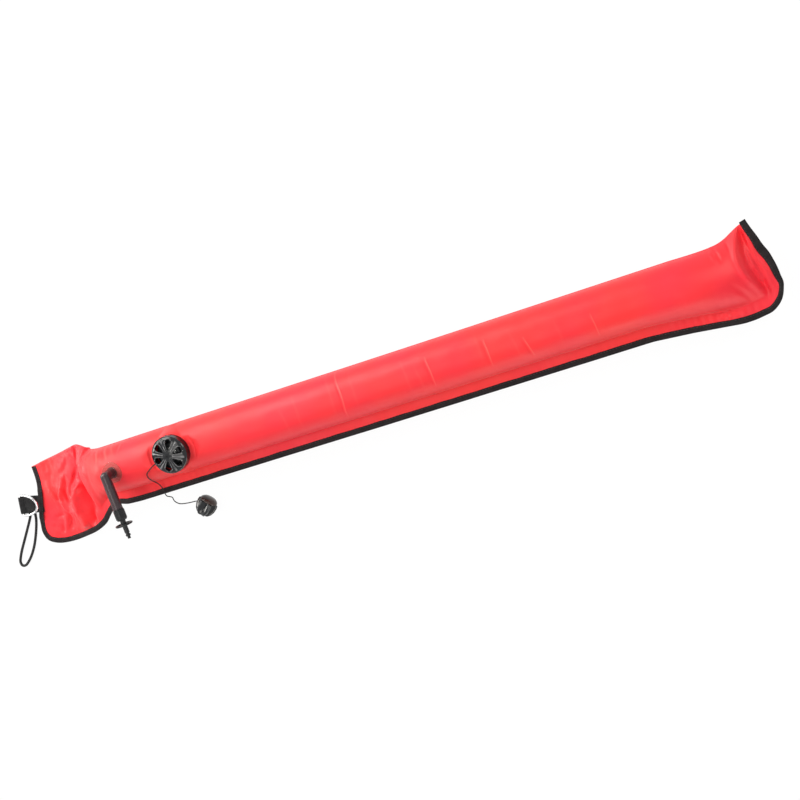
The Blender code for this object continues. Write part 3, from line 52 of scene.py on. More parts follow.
# Sizes, as in the part
TUBE_RADIUS = 35.0 * MM
FABRIC = 0.8 * MM
SEAM_MARGIN = 20.0 * MM
CREASE_X = -450.0 * MM
TOP_X = 561.0 * MM
TUBE_RIBS = 7
TUBE_BOW = 1.2 * MM
NECK_LENGTH = 50.0 * MM
CLOSE_LENGTH = 90.0 * MM
TOP_MARGIN = 33.0 * MM
TOP_BOW_SKEW = 1.1
TAIL_LENGTH = 95.0 * MM
TAIL_DROOP = 75.0 * MM
SHEET_RISE = 0.1 * MM
FULL_RISE = TUBE_RADIUS - FABRIC
TUBE_MIDDLE = TUBE_RADIUS - 0.1 * MM
CREASE_HEIGHT = 22.0 * MM
TAPE = 0.8 * MM
TAPE_WIDTH = 7.2 * MM
TAPE_END = 2.5 * MM
GAP = 0.3 * MM
WEBBING_X = -554.9 * MM
WEBBING_Y = -19.4 * MM
WEBBING_ANGLE = math.radians(168.0)
WEBBING_WIDTH = 25.0 * MM
WEBBING = 1.2 * MM
BINDING_HALF = FABRIC + GAP + TAPE
TAB_HALF = BINDING_HALF + WEBBING + GAP
VALVE = Vector((-286.0 * MM, 0.0, 65.1 * MM))
CORD_HOLE_ANGLE = math.radians(194.0)
HOSE_X = -383.7 * MM
WHITE = (1.0, 1.0, 1.0, 1.0)

# Photograph's camera
AIM = Vector((43.0, -30.0, 35.0)) * MM
DISTANCE = 1.96
LEAN_X = math.radians(19.0)
LEAN_Y = math.radians(8.0)
ROLL = math.radians(17.6)
LENS = 66.06


def new_object(name, data):
    made = bpy.data.objects.new(name, data)
    scene.collection.objects.link(made)
    return made


def set_all(thing, **settings):
    for key, value in settings.items():
        setattr(thing, key, value)
    return thing


def make_camera():
    """Camera nearly overhead, leaning to the top end, with +X rising to the right."""
    back = Vector((math.tan(LEAN_X), math.tan(LEAN_Y), 1.0)).normalized()
    along = Vector((1.0, 0.0, 0.0))
    level = (along - back * along.dot(back)).normalized()
    above = back.cross(level)
    right = level * math.cos(ROLL) - above * math.sin(ROLL)
    up = level * math.sin(ROLL) + above * math.cos(ROLL)
    camera = new_object("camera", bpy.data.cameras.new("camera"))
    turn = Matrix((right, up, back)).transposed().to_4x4()
    camera.matrix_world = Matrix.Translation(AIM + back * DISTANCE) @ turn
    set_all(camera.data, lens=LENS, sensor_width=36.0, clip_start=0.01)
    scene.camera = camera


make_camera()


# Tools
def smooth_step(share):
    share = np.clip(share, 0.0, 1.0)
    return share * share * (3.0 - 2.0 * share)


def eased(value, start, reach):
    """0 before a start, 1 a reach past it and smooth between; start and reach in mm."""
    return smooth_step((value - start * MM) / (reach * MM))


def add_piece(name, mesh, finish, body="buoy", stands_for=(), smooth=True):
    piece = new_object(name, mesh)
    mesh.materials.clear()
    mesh.materials.append(finish)
    for polygon in mesh.polygons:
        polygon.use_smooth = smooth
    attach(piece, body)
    if stands_for:
        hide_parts(*stands_for)
    return piece


def grid_mesh(name, points, caps=False):
    """Mesh over rows of points, each row closed round, an array of rows by columns by 3."""
    rows, cols = points.shape[:2]
    mesh = bpy.data.meshes.new(name)
    faces = []
    for a in range(0, (rows - 1) * cols, cols):
        for k in range(cols):
            j = (k + 1) % cols
            faces.append((a + k, a + j, a + cols + j, a + cols + k))
    if caps:
        faces.append(tuple(range(cols))[::-1])
        faces.append(tuple(range((rows - 1) * cols, rows * cols)))
    mesh.from_pydata([tuple(p) for p in points.reshape(-1, 3)], [], faces)
    mesh.update()
    return mesh


def open_mesh(mesh):
    """The mesh as a bmesh whose vertices can be picked by number."""
    bm = bmesh.new()
    bm.from_mesh(mesh)
    bm.verts.ensure_lookup_table()
    return bm


def store_mesh(bm, mesh):
    """Write the bmesh into the mesh, with its faces pointing out."""
    bmesh.ops.recalc_face_normals(bm, faces=bm.faces)
    bm.to_mesh(mesh)
    bm.free()
    return mesh


def join_rings(bm, rings):
    """Faces from each ring of vertices to the next, and over both ends."""
    count = len(rings[0])
    for a, b in zip(rings, rings[1:]):
        for k in range(count):
            j = (k + 1) % count
            bm.faces.new((a[k], a[j], b[j], b[k]))
    bm.faces.new(rings[0][::-1])
    bm.faces.new(rings[-1])


def in_metres(points):
    return [tuple(v * MM for v in point) for point in points]


def catmull(points, per_gap):
    """Smooth curve through the given points, ends included, as an array."""
    points = np.array([tuple(p) for p in points], float)
    before = np.vstack([points[:1], points[:-2]])
    after = np.vstack([points[2:], points[-1:]])
    start, end = points[:-1], points[1:]
    made = []
    for step in range(per_gap):
        t = step / per_gap
        made.append(
            0.5 * (2 * start + (end - before) * t
                   + (2 * before - 5 * start + 4 * end - after) * t * t
                   + (3 * start - before - 3 * end + after) * t ** 3)
        )
    made = np.stack(made, axis=1).reshape(-1, points.shape[1])
    return np.vstack([made, points[-1:]])


def even_line(points, spacing):
    """Points evenly spaced along a line of points."""
    steps = np.linalg.norm(np.diff(points, axis=0), axis=1)
    at = np.concatenate([[0.0], np.cumsum(steps)])
    count = max(2, round(at[-1] / spacing))
    want = np.linspace(0.0, at[-1], count + 1)
    return np.stack([np.interp(want, at, points[:, i]) for i in range(3)], axis=1)


def line_length(line):
    return float(np.linalg.norm(np.diff(line, axis=0), axis=1).sum())


def directions(line):
    """Unit direction of a line at each of its points."""
    runs = np.gradient(line, axis=0)
    return runs / np.linalg.norm(runs, axis=1)[:, None]


def ease_line(line, times):
    """Round a line's corners in place, with its ends kept."""
    for _ in range(times):
        line[1:-1] = (line[:-2] + 2.0 * line[1:-1] + line[2:]) / 4.0


def sweep(name, line, section, twist=0.0):
    """Section of (side, up) offsets carried along a line, turned by the twist at each point."""
    line = np.asarray(line, float)
    up = Vector((0.0, 0.0, 1.0))
    runs = directions(line)
    if abs(runs[0][2]) > 0.9:
        up = Vector((1.0, 0.0, 0.0))
    rows = []
    for i, run in enumerate(runs):
        run = Vector(run)
        side = run.cross(up).normalized()
        up = side.cross(run).normalized()
        turn = twist * i
        row = []
        for a, b in section:
            x = a * math.cos(turn) - b * math.sin(turn)
            y = a * math.sin(turn) + b * math.cos(turn)
            row.append(tuple(Vector(line[i]) + side * x + up * y))
        rows.append(row)
    return grid_mesh(name, np.array(rows), caps=True)


def round_section(radius, sides, every=1, dip=1.0):
    """Round section, drawn in by the dip at every so many of its points."""
    section = []
    for k in range(sides):
        reach = radius * (1.0 if k % every else dip)
        section.append((reach * math.cos(math.tau * k / sides), reach * math.sin(math.tau * k / sides)))
    return section


# Materials
def add_node(tree, kind, inputs=None, **settings):
    """New node, with each input set to a value or linked to a socket."""
    node = set_all(tree.nodes.new(kind), **settings)
    for key, value in (inputs or {}).items():
        if isinstance(value, bpy.types.NodeSocket):
            tree.links.new(value, node.inputs[key])
        else:
            node.inputs[key].default_value = value
    return node


class Finish:
    """A Principled material and short helpers for its nodes."""

    def __init__(self, name, color, roughness, **sockets):
        self.material = bpy.data.materials.new(name)
        self.material.use_nodes = True
        self.tree = self.material.node_tree
        self.shader = self.tree.nodes["Principled BSDF"]
        self.set("Base Color", (*color, 1.0))
        self.set("Roughness", roughness)
        for socket, value in sockets.items():
            self.set(socket.replace("_", " "), value)
        self.coords = self.add("ShaderNodeTexCoord").outputs["Object"]

    def set(self, socket, value):
        self.shader.inputs[socket].default_value = value

    def add(self, kind, inputs=None, **settings):
        return add_node(self.tree, kind, inputs, **settings)

    def link(self, source, socket):
        """Drive one of the shader's own sockets by a source."""
        self.tree.links.new(source, self.shader.inputs[socket])

    def noise(self, scale, detail=3.0):
        inputs = {"Vector": self.coords, "Scale": scale, "Detail": detail}
        return self.add("ShaderNodeTexNoise", inputs).outputs["Fac"]

    def weave(self, pitch, turn=(0.0, 0.0, 0.0)):
        """Threads crossing at right angles, as one height."""
        place = self.add("ShaderNodeMapping", {"Vector": self.coords, "Rotation": turn}).outputs["Vector"]
        inputs = {"Vector": place, "Scale": 1.0 / (pitch * 20.0) * math.tau / 2.0, "Distortion": 0.4}
        heights = []
        for direction in ("X", "Y"):
            wave = self.add("ShaderNodeTexWave", inputs, wave_type="BANDS", bands_direction=direction)
            heights.append(wave.outputs["Fac"])
        return self.math("MULTIPLY", *heights)

    def math(self, operation, a, b):
        return self.add("ShaderNodeMath", {0: a, 1: b}, operation=operation).outputs[0]

    def ramp(self, source, low, high, start=0.35, end=0.65):
        """Number from low to high as the source goes from start to end."""
        inputs = {"Value": source, "From Min": start, "From Max": end, "To Min": low, "To Max": high}
        return self.add("ShaderNodeMapRange", inputs).outputs["Result"]

    def mix(self, factor, a, b):
        """Colour from a to b by a factor."""
        inputs = {"Factor": factor, "A": a, "B": b}
        return self.add("ShaderNodeMix", inputs, data_type="RGBA").outputs["Result"]

    def shade(self, source, light, dark):
        """Base colour between two colours by a source."""
        color = self.mix(self.ramp(source, 0.0, 1.0), (*dark, 1.0), (*light, 1.0))
        self.link(color, "Base Color")
        return color

    def rough(self, source, low, high):
        self.link(self.ramp(source, low, high), "Roughness")

    def bump(self, *layers):
        """Layers of (height source, distance in metres), one over another."""
        inputs = {}
        for source, distance in layers:
            inputs.update({"Height": source, "Distance": distance})
            inputs["Normal"] = self.add("ShaderNodeBump", inputs).outputs["Normal"]
        self.link(inputs["Normal"], "Normal")

    def vary(self, shade=None, rough=None, bump=None):
        """Noise over the colour, the roughness and the height, each led by its scale."""
        if shade:
            self.shade(self.noise(shade[0]), *shade[1:])
        if rough:
            self.rough(self.noise(rough[0]), *rough[1:])
        if bump:
            self.bump((self.noise(*bump[:-1]), bump[-1]))
        return self.material


def red_nylon():
    """Coated nylon, with a painted highlight along its crease lines."""
    red = Finish("coated_nylon", (0.94, 0.026, 0.036), 0.46, Specular_IOR_Level=0.36, Sheen_Weight=0.10,
                 Sheen_Roughness=0.45)
    cloth = red.shade(red.noise(9.0, 4.0), (0.96, 0.029, 0.033), (0.91, 0.022, 0.042))
    # Painted highlight: a paler red along the crease lines, read from the skin's attribute
    painted_highlight = red.add("ShaderNodeAttribute", attribute_name="painted_highlight").outputs["Fac"]
    red.link(red.mix(red.math("MULTIPLY", painted_highlight, 0.33), cloth, (1.0, 0.20, 0.16, 1.0)), "Base Color")
    red.rough(red.noise(30.0), 0.42, 0.50)
    red.bump((red.noise(70.0, 5.0), 0.35 * MM), (red.weave(0.6 * MM), 0.03 * MM))
    return red.material


def smoky_hose():
    """Dark translucent hose, thinner and redder over its flange."""
    hose = Finish("smoky_hose", (0.05, 0.026, 0.032), 0.16)
    smoke = hose.shade(hose.noise(40.0), (0.050, 0.027, 0.033), (0.036, 0.019, 0.025))
    hose.rough(hose.noise(80.0), 0.12, 0.22)
    hose.bump((hose.noise(60.0), 0.03 * MM))
    place = hose.add("ShaderNodeSeparateXYZ", {"Vector": hose.coords}).outputs
    aside = hose.math("SUBTRACT", place["X"], HOSE_X)
    squares = [hose.math("POWER", length, 2.0) for length in (aside, place["Y"])]
    reach = hose.math("POWER", hose.math("ADD", *squares), 0.5)
    thin = hose.math("MULTIPLY", hose.ramp(reach, 0.0, 1.0, 6.5 * MM, 9.0 * MM),
                     hose.ramp(place["Z"], 1.0, 0.0, 72.5 * MM, 74.5 * MM))
    hose.link(hose.ramp(thin, 0.86, 0.30, 0.0, 1.0), "Alpha")
    hose.link(hose.mix(thin, smoke, (0.42, 0.13, 0.12, 1.0)), "Base Color")
    return hose.material


def make_finishes():
    """Every material by name."""
    made = {"red": red_nylon()}

    tape = Finish("binding_tape", (0.011, 0.008, 0.009), 0.8, Specular_IOR_Level=0.22)
    tape.shade(tape.noise(120.0), (0.016, 0.012, 0.013), (0.007, 0.005, 0.006))
    tape.bump((tape.noise(45.0), 0.4 * MM), (tape.weave(0.9 * MM, (0.0, 0.0, 0.6)), 0.10 * MM))
    made["tape"] = tape.material

    webbing = Finish("tab_webbing", (0.010, 0.010, 0.011), 0.8, Specular_IOR_Level=0.25)
    webbing.shade(webbing.noise(200.0), (0.014, 0.014, 0.015), (0.005, 0.005, 0.006))
    webbing.bump((webbing.weave(1.3 * MM, (0.0, 0.0, -WEBBING_ANGLE)), 0.25 * MM))
    made["webbing"] = webbing.material

    for name in ("bungee", "cord"):
        cover = Finish(name + "_cover", (0.012, 0.012, 0.013), 0.75, Specular_IOR_Level=0.3)
        cover.shade(cover.noise(400.0), (0.018, 0.018, 0.019), (0.006, 0.006, 0.007))
        cover.bump((cover.weave(0.7 * MM, (0.4, 0.2, 0.8)), 0.08 * MM))
        made[name] = cover.material

    made["thread"] = Finish("stitch_thread", (0.020, 0.018, 0.019), 0.6).vary(
        shade=(500.0, (0.045, 0.040, 0.042), (0.015, 0.013, 0.014)))
    made["chrome"] = Finish("chromed_wire", (0.60, 0.60, 0.61), 0.08, Metallic=1.0).vary(
        rough=(90.0, 0.05, 0.14), bump=(150.0, 0.03 * MM))
    made["steel"] = Finish("spring_wire", (0.55, 0.55, 0.54), 0.3, Metallic=1.0).vary(
        rough=(300.0, 0.22, 0.38))
    made["plastic"] = Finish("moulded_plastic", (0.009, 0.010, 0.011), 0.3, Specular_IOR_Level=0.32).vary(
        shade=(60.0, (0.013, 0.014, 0.016), (0.006, 0.007, 0.008)),
        rough=(120.0, 0.22, 0.38), bump=(700.0, 2.0, 0.03 * MM))
    made["gloss"] = Finish("gloss_plastic", (0.007, 0.008, 0.010), 0.12, Specular_IOR_Level=0.36).vary(
        shade=(50.0, (0.010, 0.011, 0.014), (0.005, 0.006, 0.007)),
        rough=(90.0, 0.08, 0.18), bump=(130.0, 0.03 * MM))
    # Ribs of the black cap coloured lighter grey: painted highlight along the spokes
    made["ribs"] = Finish("ribs_grey_painted_highlight", (0.10, 0.10, 0.11), 0.2).vary(
        shade=(160.0, (0.20, 0.20, 0.21), (0.04, 0.04, 0.045)), rough=(200.0, 0.14, 0.26))
    # Knob cap of black gloss plastic coloured warm brown: painted warm reflection
    made["brown"] = Finish("gloss_plastic_painted_warm_reflection", (0.030, 0.018, 0.014), 0.22, Specular_IOR_Level=0.36).vary(
        shade=(60.0, (0.045, 0.026, 0.020), (0.020, 0.013, 0.011)),
        rough=(90.0, 0.16, 0.30), bump=(140.0, 0.05 * MM))
    made["rubber"] = Finish("black_rubber", (0.020, 0.020, 0.020), 0.65).vary(bump=(500.0, 0.05 * MM))
    made["hose"] = smoky_hose()
    return made


FINISH = make_finishes()

# Pull cord
CORD_RADIUS = 0.75 * MM
CORD_START = ((20.8, 9.6), (30.5, 9.3))     # mm from the valve's axis, mm above its seat
CORD_ROUTE = (
    (-325.5, -12.0, 71.6), (-333.0, -16.5, 69.0), (-336.0, -22.0, 65.3), (-336.0, -28.5, 59.2),
    (-335.5, -35.0, 49.5), (-335.2, -42.0, 42.0), (-334.6, -50.5, 39.0), (-334.6, -56.8, 38.7),
    (-334.9, -60.4, 35.5), (-337.0, -63.0, 27.0), (-341.5, -68.0, 11.0), (-345.5, -73.0, 2.6),
    (-345.0, -77.0, 1.1), (-339.0, -82.0, 1.0), (-329.0, -84.0, 1.2), (-320.5, -84.5, 2.6),
    (-313.5, -84.4, 5.0), (-307.0, -84.6, 7.4), (-302.3, -84.3, 8.8), (-298.15, -84.66, 9.25),
    (-296.11, -86.7, 10.68),
)


def make_cord():
    """Pull cord from the valve's cap down the tube to the knob on the floor."""
    start = []
    for radius, height in CORD_START:
        start.append((
            VALVE.x + radius * MM * math.cos(CORD_HOLE_ANGLE),
            VALVE.y + radius * MM * math.sin(CORD_HOLE_ANGLE),
            VALVE.z + height * MM,
        ))
    line = even_line(catmull(start + in_metres(CORD_ROUTE), 8), 0.5 * MM)
    mesh = sweep("pull_cord_cover", line, round_section(CORD_RADIUS, 16, 2, 0.90), twist=0.09)
    cord = add_piece("pull_cord_cover", mesh, FINISH["cord"], "pull_handle", ["pull_cord"])
    length = line_length(line)
    return length


# Bungee loop
BUNGEE_RADIUS = 2.0 * MM
BUNGEE_ROUTE = (
    (-574.49, -17.28, 3.8), (-577.29, -30.49, 3.8), (-584.5, -40.0, 2.3), (-592.5, -50.0, 2.3),
    (-603.0, -63.0, 2.3), (-615.0, -77.8, 2.3), (-622.0, -87.8, 2.3), (-625.6, -95.0, 2.3),
    (-624.6, -100.9, 2.3), (-619.0, -102.0, 2.3), (-611.8, -97.8, 2.3), (-602.3, -89.3, 2.3),
    (-591.6, -76.2, 2.3), (-581.0, -59.0, 2.3), (-573.0, -42.5, 2.3), (-569.08, -32.23, 3.8),
    (-566.27, -19.03, 3.8),
)


def make_bungee():
    """Braided loop, with grooves wound round it."""
    line = even_line(catmull(in_metres(BUNGEE_ROUTE), 12), 0.5 * MM)
    mesh = sweep("bungee_cover", line, round_section(BUNGEE_RADIUS, 24, 4, 0.93), twist=0.16)
    bungee = add_piece("bungee_cover", mesh, FINISH["bungee"], "buoy", ["bungee_loop"])
    length = line_length(line)
    return length


print("pull cord, mm", round(make_cord() / MM, 1))
print("bungee, mm", round(make_bungee() / MM, 1))


# Envelope ribs: places of both ends along X, how far each stands out, and the bow
TAIL_RIBS = (
    (-1.00, 1.6, -1.26, 5.0, 5.0),
    (-0.91, 2.6, -1.23, 18.5, 4.0),
    (-0.80, 4.3, -1.13, 26.0, 3.0),
    (-0.63, 6.2, -0.98, 30.5, 0.0),
    (-0.46, 8.2, -0.74, 32.0, -4.0),
    (-0.29, 10.5, -0.48, 29.5, -7.0),
    (-0.14, 12.8, -0.23, 25.5, -8.0),
    (0.0, 14.3, -0.02, 18.5, -8.0),
)
NECK_RIBS = (
    (0.14, 11.0, 0.16, 10.5, -7.0),
    (0.28, 6.6, 0.34, 4.0, -5.0),
    (0.44, 2.2, 0.54, -1.5, -3.0),
    (0.68, 0.3, 0.78, -5.0, -1.0),
    (1.00, 0.0, 1.02, -1.5, 0.0),
)
TOP_RIBS = (
    (-90.0, -1.2, -90.0, 5.7, 0.0),
    (-66.6, -1.8, -64.8, 8.7, 0.0),
    (-46.8, -1.6, -45.0, 11.0, 0.0),
    (-30.6, -0.2, -27.0, 13.0, 0.0),
    (-18.9, 3.3, -10.8, 12.6, 1.0),
    (-9.0, 8.4, 0.0, 11.0, 2.0),
    (0.0, 12.8, 11.0, 8.7, 3.0),
    (6.5, 15.0, 24.0, -2.2, 3.2),
    (12.0, 16.5, 33.0, -21.2, 3.0),
)
TOP_WELD = TOP_X - TOP_MARGIN
SEAT_RADIUS = 28.0 * MM         # flat under the valve
SKIRT_SLOPE = 20.0 / 6.5        # fall of the fabric outside the seat
SKIRT_END = 36.0 * MM
DIMPLE_START = 30.3 * MM        # dip in the crest round the seat, rising outwards
DIMPLE_END = 47.0 * MM
DIMPLE_RISE = 4.8               # mm
DIMPLE_REACH = 15.7             # mm over which it rises so far
NECK_HOLE = 17.9 * MM           # radius of the fabric's hole round the valve's neck
UPPER_SHEET = 50.0 * MM         # higher than any of the lower sheet
TUBE_START = -345.0 * MM        # plain tube from here to the closing top end
TUBE_CREASES = ((-27.0, -20.0), (105.0, 108.0), (187.0, 189.5), (238.5, 244.0), (329.0, 331.0))
ARC = 50                # steps across each sheet
MARGIN = 8              # steps across the margin
FOLD_STEPS = 3          # points round the folded side


def placed_ribs(origin, scale, table, skew=0.0):
    """Ribs of a table, placed along X from an origin."""
    return [
        (origin + fold_x * scale, fold_out * MM, origin + edge_x * scale, edge_out * MM, bow * MM, skew)
        for fold_x, fold_out, edge_x, edge_out, bow in table
    ]


def rib_rows():
    """Fine rows: fold x, fold out, edge x, edge out, bow, skew, rise."""
    tail = placed_ribs(CREASE_X, TAIL_LENGTH, TAIL_RIBS) + placed_ribs(CREASE_X, NECK_LENGTH, NECK_RIBS)
    top = placed_ribs(TOP_WELD, MM, TOP_RIBS, TOP_BOW_SKEW)
    start = CREASE_X + 1.5 * NECK_LENGTH
    end = TOP_WELD - CLOSE_LENGTH - NECK_LENGTH
    tube = []
    for share in np.linspace(0.0, 1.0, TUBE_RIBS):
        x = start + (end - start) * share
        drift = TUBE_BOW * float(smooth_step(1.5 * share))
        tube.append((x, -drift, x, drift, 0.0, 0.0))
    rough = np.vstack([catmull(tail, 16), np.array(tube), catmull(top, 16)])
    middle = (rough[:, 0] + rough[:, 2]) / 2.0
    stations = []
    x = middle[0]
    while x < middle[-1]:
        stations.append(x)
        creased = any(low - 3.0 < x / MM < high + 3.0 for low, high in TUBE_CREASES)
        detailed = x < TUBE_START or abs(x - VALVE.x) < 50.0 * MM or x > TOP_WELD - CLOSE_LENGTH
        x += (0.8 if creased else 1.5 if detailed else 2.0) * MM
    stations.append(middle[-1])
    rows = np.stack([np.interp(stations, middle, rough[:, i]) for i in range(6)], axis=1)
    neck = np.clip((rows[:, 0] - CREASE_X) / NECK_LENGTH, 0.0, 1.0)
    close = np.clip((TOP_WELD - rows[:, 0]) / CLOSE_LENGTH, 0.0, 1.0)
    share = np.minimum(neck, close)
    rise = np.maximum(FULL_RISE * np.sqrt(1.0 - (1.0 - share) ** 2), SHEET_RISE)
    return np.column_stack([rows, rise])


def from_strap(x, y):
    """Distance of places in the plan from the webbing's middle line."""
    return np.abs((x - WEBBING_X) * -math.sin(WEBBING_ANGLE) + (y - WEBBING_Y) * math.cos(WEBBING_ANGLE))


def middle_height(x, y):
    """Height of the middle of the double sheet at places in the plan."""
    opened = smooth_step((x - CREASE_X) / NECK_LENGTH)
    chamber = CREASE_HEIGHT + (TUBE_MIDDLE - CREASE_HEIGHT) * opened
    spread = smooth_step((from_strap(x, y) - WEBBING_WIDTH / 2.0) / WEBBING_WIDTH)
    floor = TAB_HALF - (TAB_HALF - BINDING_HALF) * spread
    fall = smooth_step((CREASE_X - x) / TAIL_DROOP)
    return np.where(x > CREASE_X, chamber, CREASE_HEIGHT + (floor - CREASE_HEIGHT) * fall)


# Folds: points in the plan, height and half width, all in mm
TAIL_FOLDS = (
    (((-466, 44), (-478, 20), (-492, 2), (-504, -18), (-508, -36)), 3.2, 19.0),
    (((-445, 49), (-450, 35), (-452, 18), (-452, -3), (-453, -20)), 1.4, 2.6),
    (((-453, 51), (-455, 36), (-457, 22), (-457, 9), (-457, -4), (-458, -14)), -3.6, 1.9),
    (((-464, 16), (-472, 7), (-480, -1), (-486, -8)), -4.2, 2.6),
    (((-487, -7), (-492, -16), (-493, -28)), -3.4, 2.4),
    (((-470, -3), (-480, -11), (-486, -22), (-488, -34), (-490, -46)), 2.0, 2.2),
    (((-492, 8), (-499, -4), (-504, -14), (-505, -25), (-500, -36), (-497, -48)), -5.0, 2.8),
    (((-501, 8), (-511, -8), (-516, -20), (-515, -33), (-509, -45)), 4.4, 3.6),
    (((-488, -22), (-494, -34), (-494, -46)), 3.0, 3.6),
    (((-522, -7), (-521, -20), (-514, -26)), -2.6, 2.8),
    (((-530, 6), (-529, -10), (-525, -24)), 2.2, 3.8),
    (((-475, 30), (-487, 20), (-497, 14)), -1.8, 3.4),
    (((-480, 36), (-492, 26), (-504, 20)), 1.6, 4.4),
    (((-535, -46), (-523, -46)), -2.0, 2.4),
    (((-530, -60), (-536, -71)), -2.0, 2.4),
    (((-511, -44), (-514, -56), (-521, -70)), -3.0, 2.8),
    (((-519, -46), (-522, -56), (-529, -68)), 2.4, 3.4),
    (((-500, -52), (-503, -62), (-509, -74)), 2.2, 4.0),
    (((-459, 36), (-451, 22)), 2.4, 2.2),
)
CHAMBER_FOLDS = (
    (((-427, 42), (-434, 36), (-440, 30), (-444, 24)), -6.0, 2.8),
    (((-418, 38), (-426, 32), (-433, 25)), 2.4, 3.2),
    (((-437, 40), (-440, 26), (-441, 12), (-440, 0)), 1.8, 3.0),
    (((-430, 10), (-436, -10), (-440, -30)), -1.6, 4.0),
    (((-405.4, 33.3), (-403.8, 25.5), (-404.6, 17.6)), 1.6, 1.9),
    (((-410, 32), (-408.5, 25.5), (-409.5, 18.6)), -1.8, 1.9),
    (((-391.4, 32.6), (-388.7, 25.6), (-387.8, 17.3)), 1.4, 1.8),
    (((-396, 32), (-393.7, 25.6), (-392.8, 18.3)), -1.5, 1.9),
    (((-383.2, 33.8), (-379.3, 29.2), (-377.7, 23.5)), 1.1, 1.7),
    (((-364.3, 32.4), (-366.3, 27.5), (-367.5, 21.1)), 0.9, 1.7),
    (((-369.3, 32.4), (-371.3, 27.5), (-372.5, 21.1)), -1.0, 1.7),
    (((-29.4, 32.4), (-22.6, 5.2), (-27.9, -25.9)), -0.5, 1.5),
    (((102.5, 17.1), (105.0, -1.4), (103.8, -21.5)), -0.5, 1.5),
    (((184.7, 15.9), (186.4, -0.9), (185.6, -18.9)), -0.5, 1.5),
    (((235.9, 3.0), (239.2, -9.8), (241.1, -23.6)), -0.5, 1.5),
    (((529, 45), (521, 34), (517, 14), (520, -4), (526, -20)), 3.6, 3.8),
    (((533, 48), (530, 36), (528, 20), (528, 9), (529, -3), (532, -14), (536, -27)), -6.8, 3.6),
    (((531, -10), (536, -25), (540, -38), (541, -46)), -3.6, 2.8),
    (((520, -6), (527, -22), (533, -38)), 2.6, 4.0),
    (((537, 26), (541, 2), (546, -16), (549, -38)), 2.2, 3.6),
    (((503, -16), (514, -32), (519, -46)), -1.8, 3.6),
    (((471, -46), (480, -49), (490, -51), (501, -53)), -2.0, 2.4),
    (((492, 34), (496.5, 25), (499, 16)), -1.8, 1.8),
    (((486, 34), (490, 26), (493, 18)), 1.2, 2.2),
    (((511, 33), (512, 24)), -1.6, 1.7),
)
# Fine crease lines, standing a little proud, with a painted highlight along them
CREASES_WITH_PAINTED_HIGHLIGHT = (
    (((-26.7, 32.4), (-19.9, 5.2), (-25.2, -25.9)), 0.30, 0.9),
    (((105.2, 17.1), (107.7, -1.4), (106.5, -21.5)), 0.34, 0.9),
    (((187.4, 15.9), (189.1, -0.9), (188.3, -18.9)), 0.30, 0.9),
    (((238.6, 3.0), (241.9, -9.8), (243.8, -23.6)), 0.30, 0.9),
    (((329.4, 5.8), (330.9, -8.7), (330.8, -24.5)), 0.26, 0.9),
    (((-40.0, 30.0), (-35.0, 8.0), (-38.0, -20.0)), 0.07, 1.8),
    (((-6.0, 28.0), (-2.0, 6.0), (-3.0, -14.0)), 0.06, 1.8),
    (((-92.0, 24.0), (-88.0, 4.0), (-90.0, -22.0)), 0.06, 1.8),
    (((-112.0, 10.0), (-109.0, -6.0), (-110.0, -26.0)), 0.06, 1.8),
    (((70.0, 22.0), (74.0, 4.0), (73.0, -18.0)), 0.07, 1.8),
    (((88.0, 10.0), (91.0, -6.0), (90.0, -24.0)), 0.07, 1.8),
    (((176.0, 24.0), (179.0, 6.0), (178.0, -12.0)), 0.06, 1.8),
    (((222.0, 16.0), (226.0, -2.0), (227.0, -18.0)), 0.06, 1.8),
    (((282.0, 12.0), (285.0, -6.0), (284.0, -22.0)), 0.05, 1.8),
    (((-405.4, 32.3), (-403.8, 25.5), (-404.6, 19.6)), 0.2, 1.3),
    (((-391.4, 31.6), (-388.7, 25.6), (-387.8, 19.3)), 0.2, 1.3),
    (((-383.2, 33.8), (-379.3, 29.2), (-377.7, 25.5)), 0.15, 1.3),
)


# Flat slope of the tail beside the neck: plan lines of its crest and its foot, y before x, in mm
SLOPE_CREST = ((-2, -464), (-7, -470), (-21, -481), (-36, -487), (-50, -490), (-60, -486))
SLOPE_FOOT = ((-2, -459), (-10, -460), (-26, -461), (-45, -463), (-57, -469))
SLOPE_RISE = 9.5 * MM
SLOPE_FALL = 10.5 * MM


def slope_height(x, y):
    """Height of that slope, easing off from its crest on one side and from its foot on the other."""
    crest, foot = [
        np.interp(-y, *zip(*[(-a * MM, b * MM) for a, b in points])) for points in (SLOPE_CREST, SLOPE_FOOT)
    ]
    share = np.clip((x - crest) / (foot - crest), 0.0, 1.0)
    before = SLOPE_RISE * np.exp(-((x - crest) / (12.0 * MM)) ** 2)
    middle = SLOPE_RISE - (SLOPE_RISE + SLOPE_FALL) * share
    after = -SLOPE_FALL * np.exp(-((x - foot) / (4.2 * MM)) ** 2)
    height = np.where(x < crest, before, np.where(x < foot, middle, after))
    return height * eased(-y, 1.0, 11.0)


def fold_height(x, y, folds):
    """Sum of the folds at places in the plan, each fading out at its ends."""
    total = np.zeros_like(x)
    for points, height, width in folds:
        line = catmull(points, 6) * MM
        count = len(line)
        nearest = np.full(x.shape, 1.0)
        strength = np.zeros_like(x)
        for i in range(count - 1):
            a, b = line[i], line[i + 1]
            run = b - a
            t = np.clip(((x - a[0]) * run[0] + (y - a[1]) * run[1]) / (run @ run), 0.0, 1.0)
            away = np.hypot(x - a[0] - run[0] * t, y - a[1] - run[1] * t)
            along = (i + t) / (count - 1)
            closer = away < nearest
            nearest = np.where(closer, away, nearest)
            strength = np.where(closer, np.sin(math.pi * np.clip(along, 0.06, 0.94)) ** 0.5, strength)
        shape = np.exp(-(nearest / (width * MM)) ** 2)
        total += height * MM * strength * shape
    return total


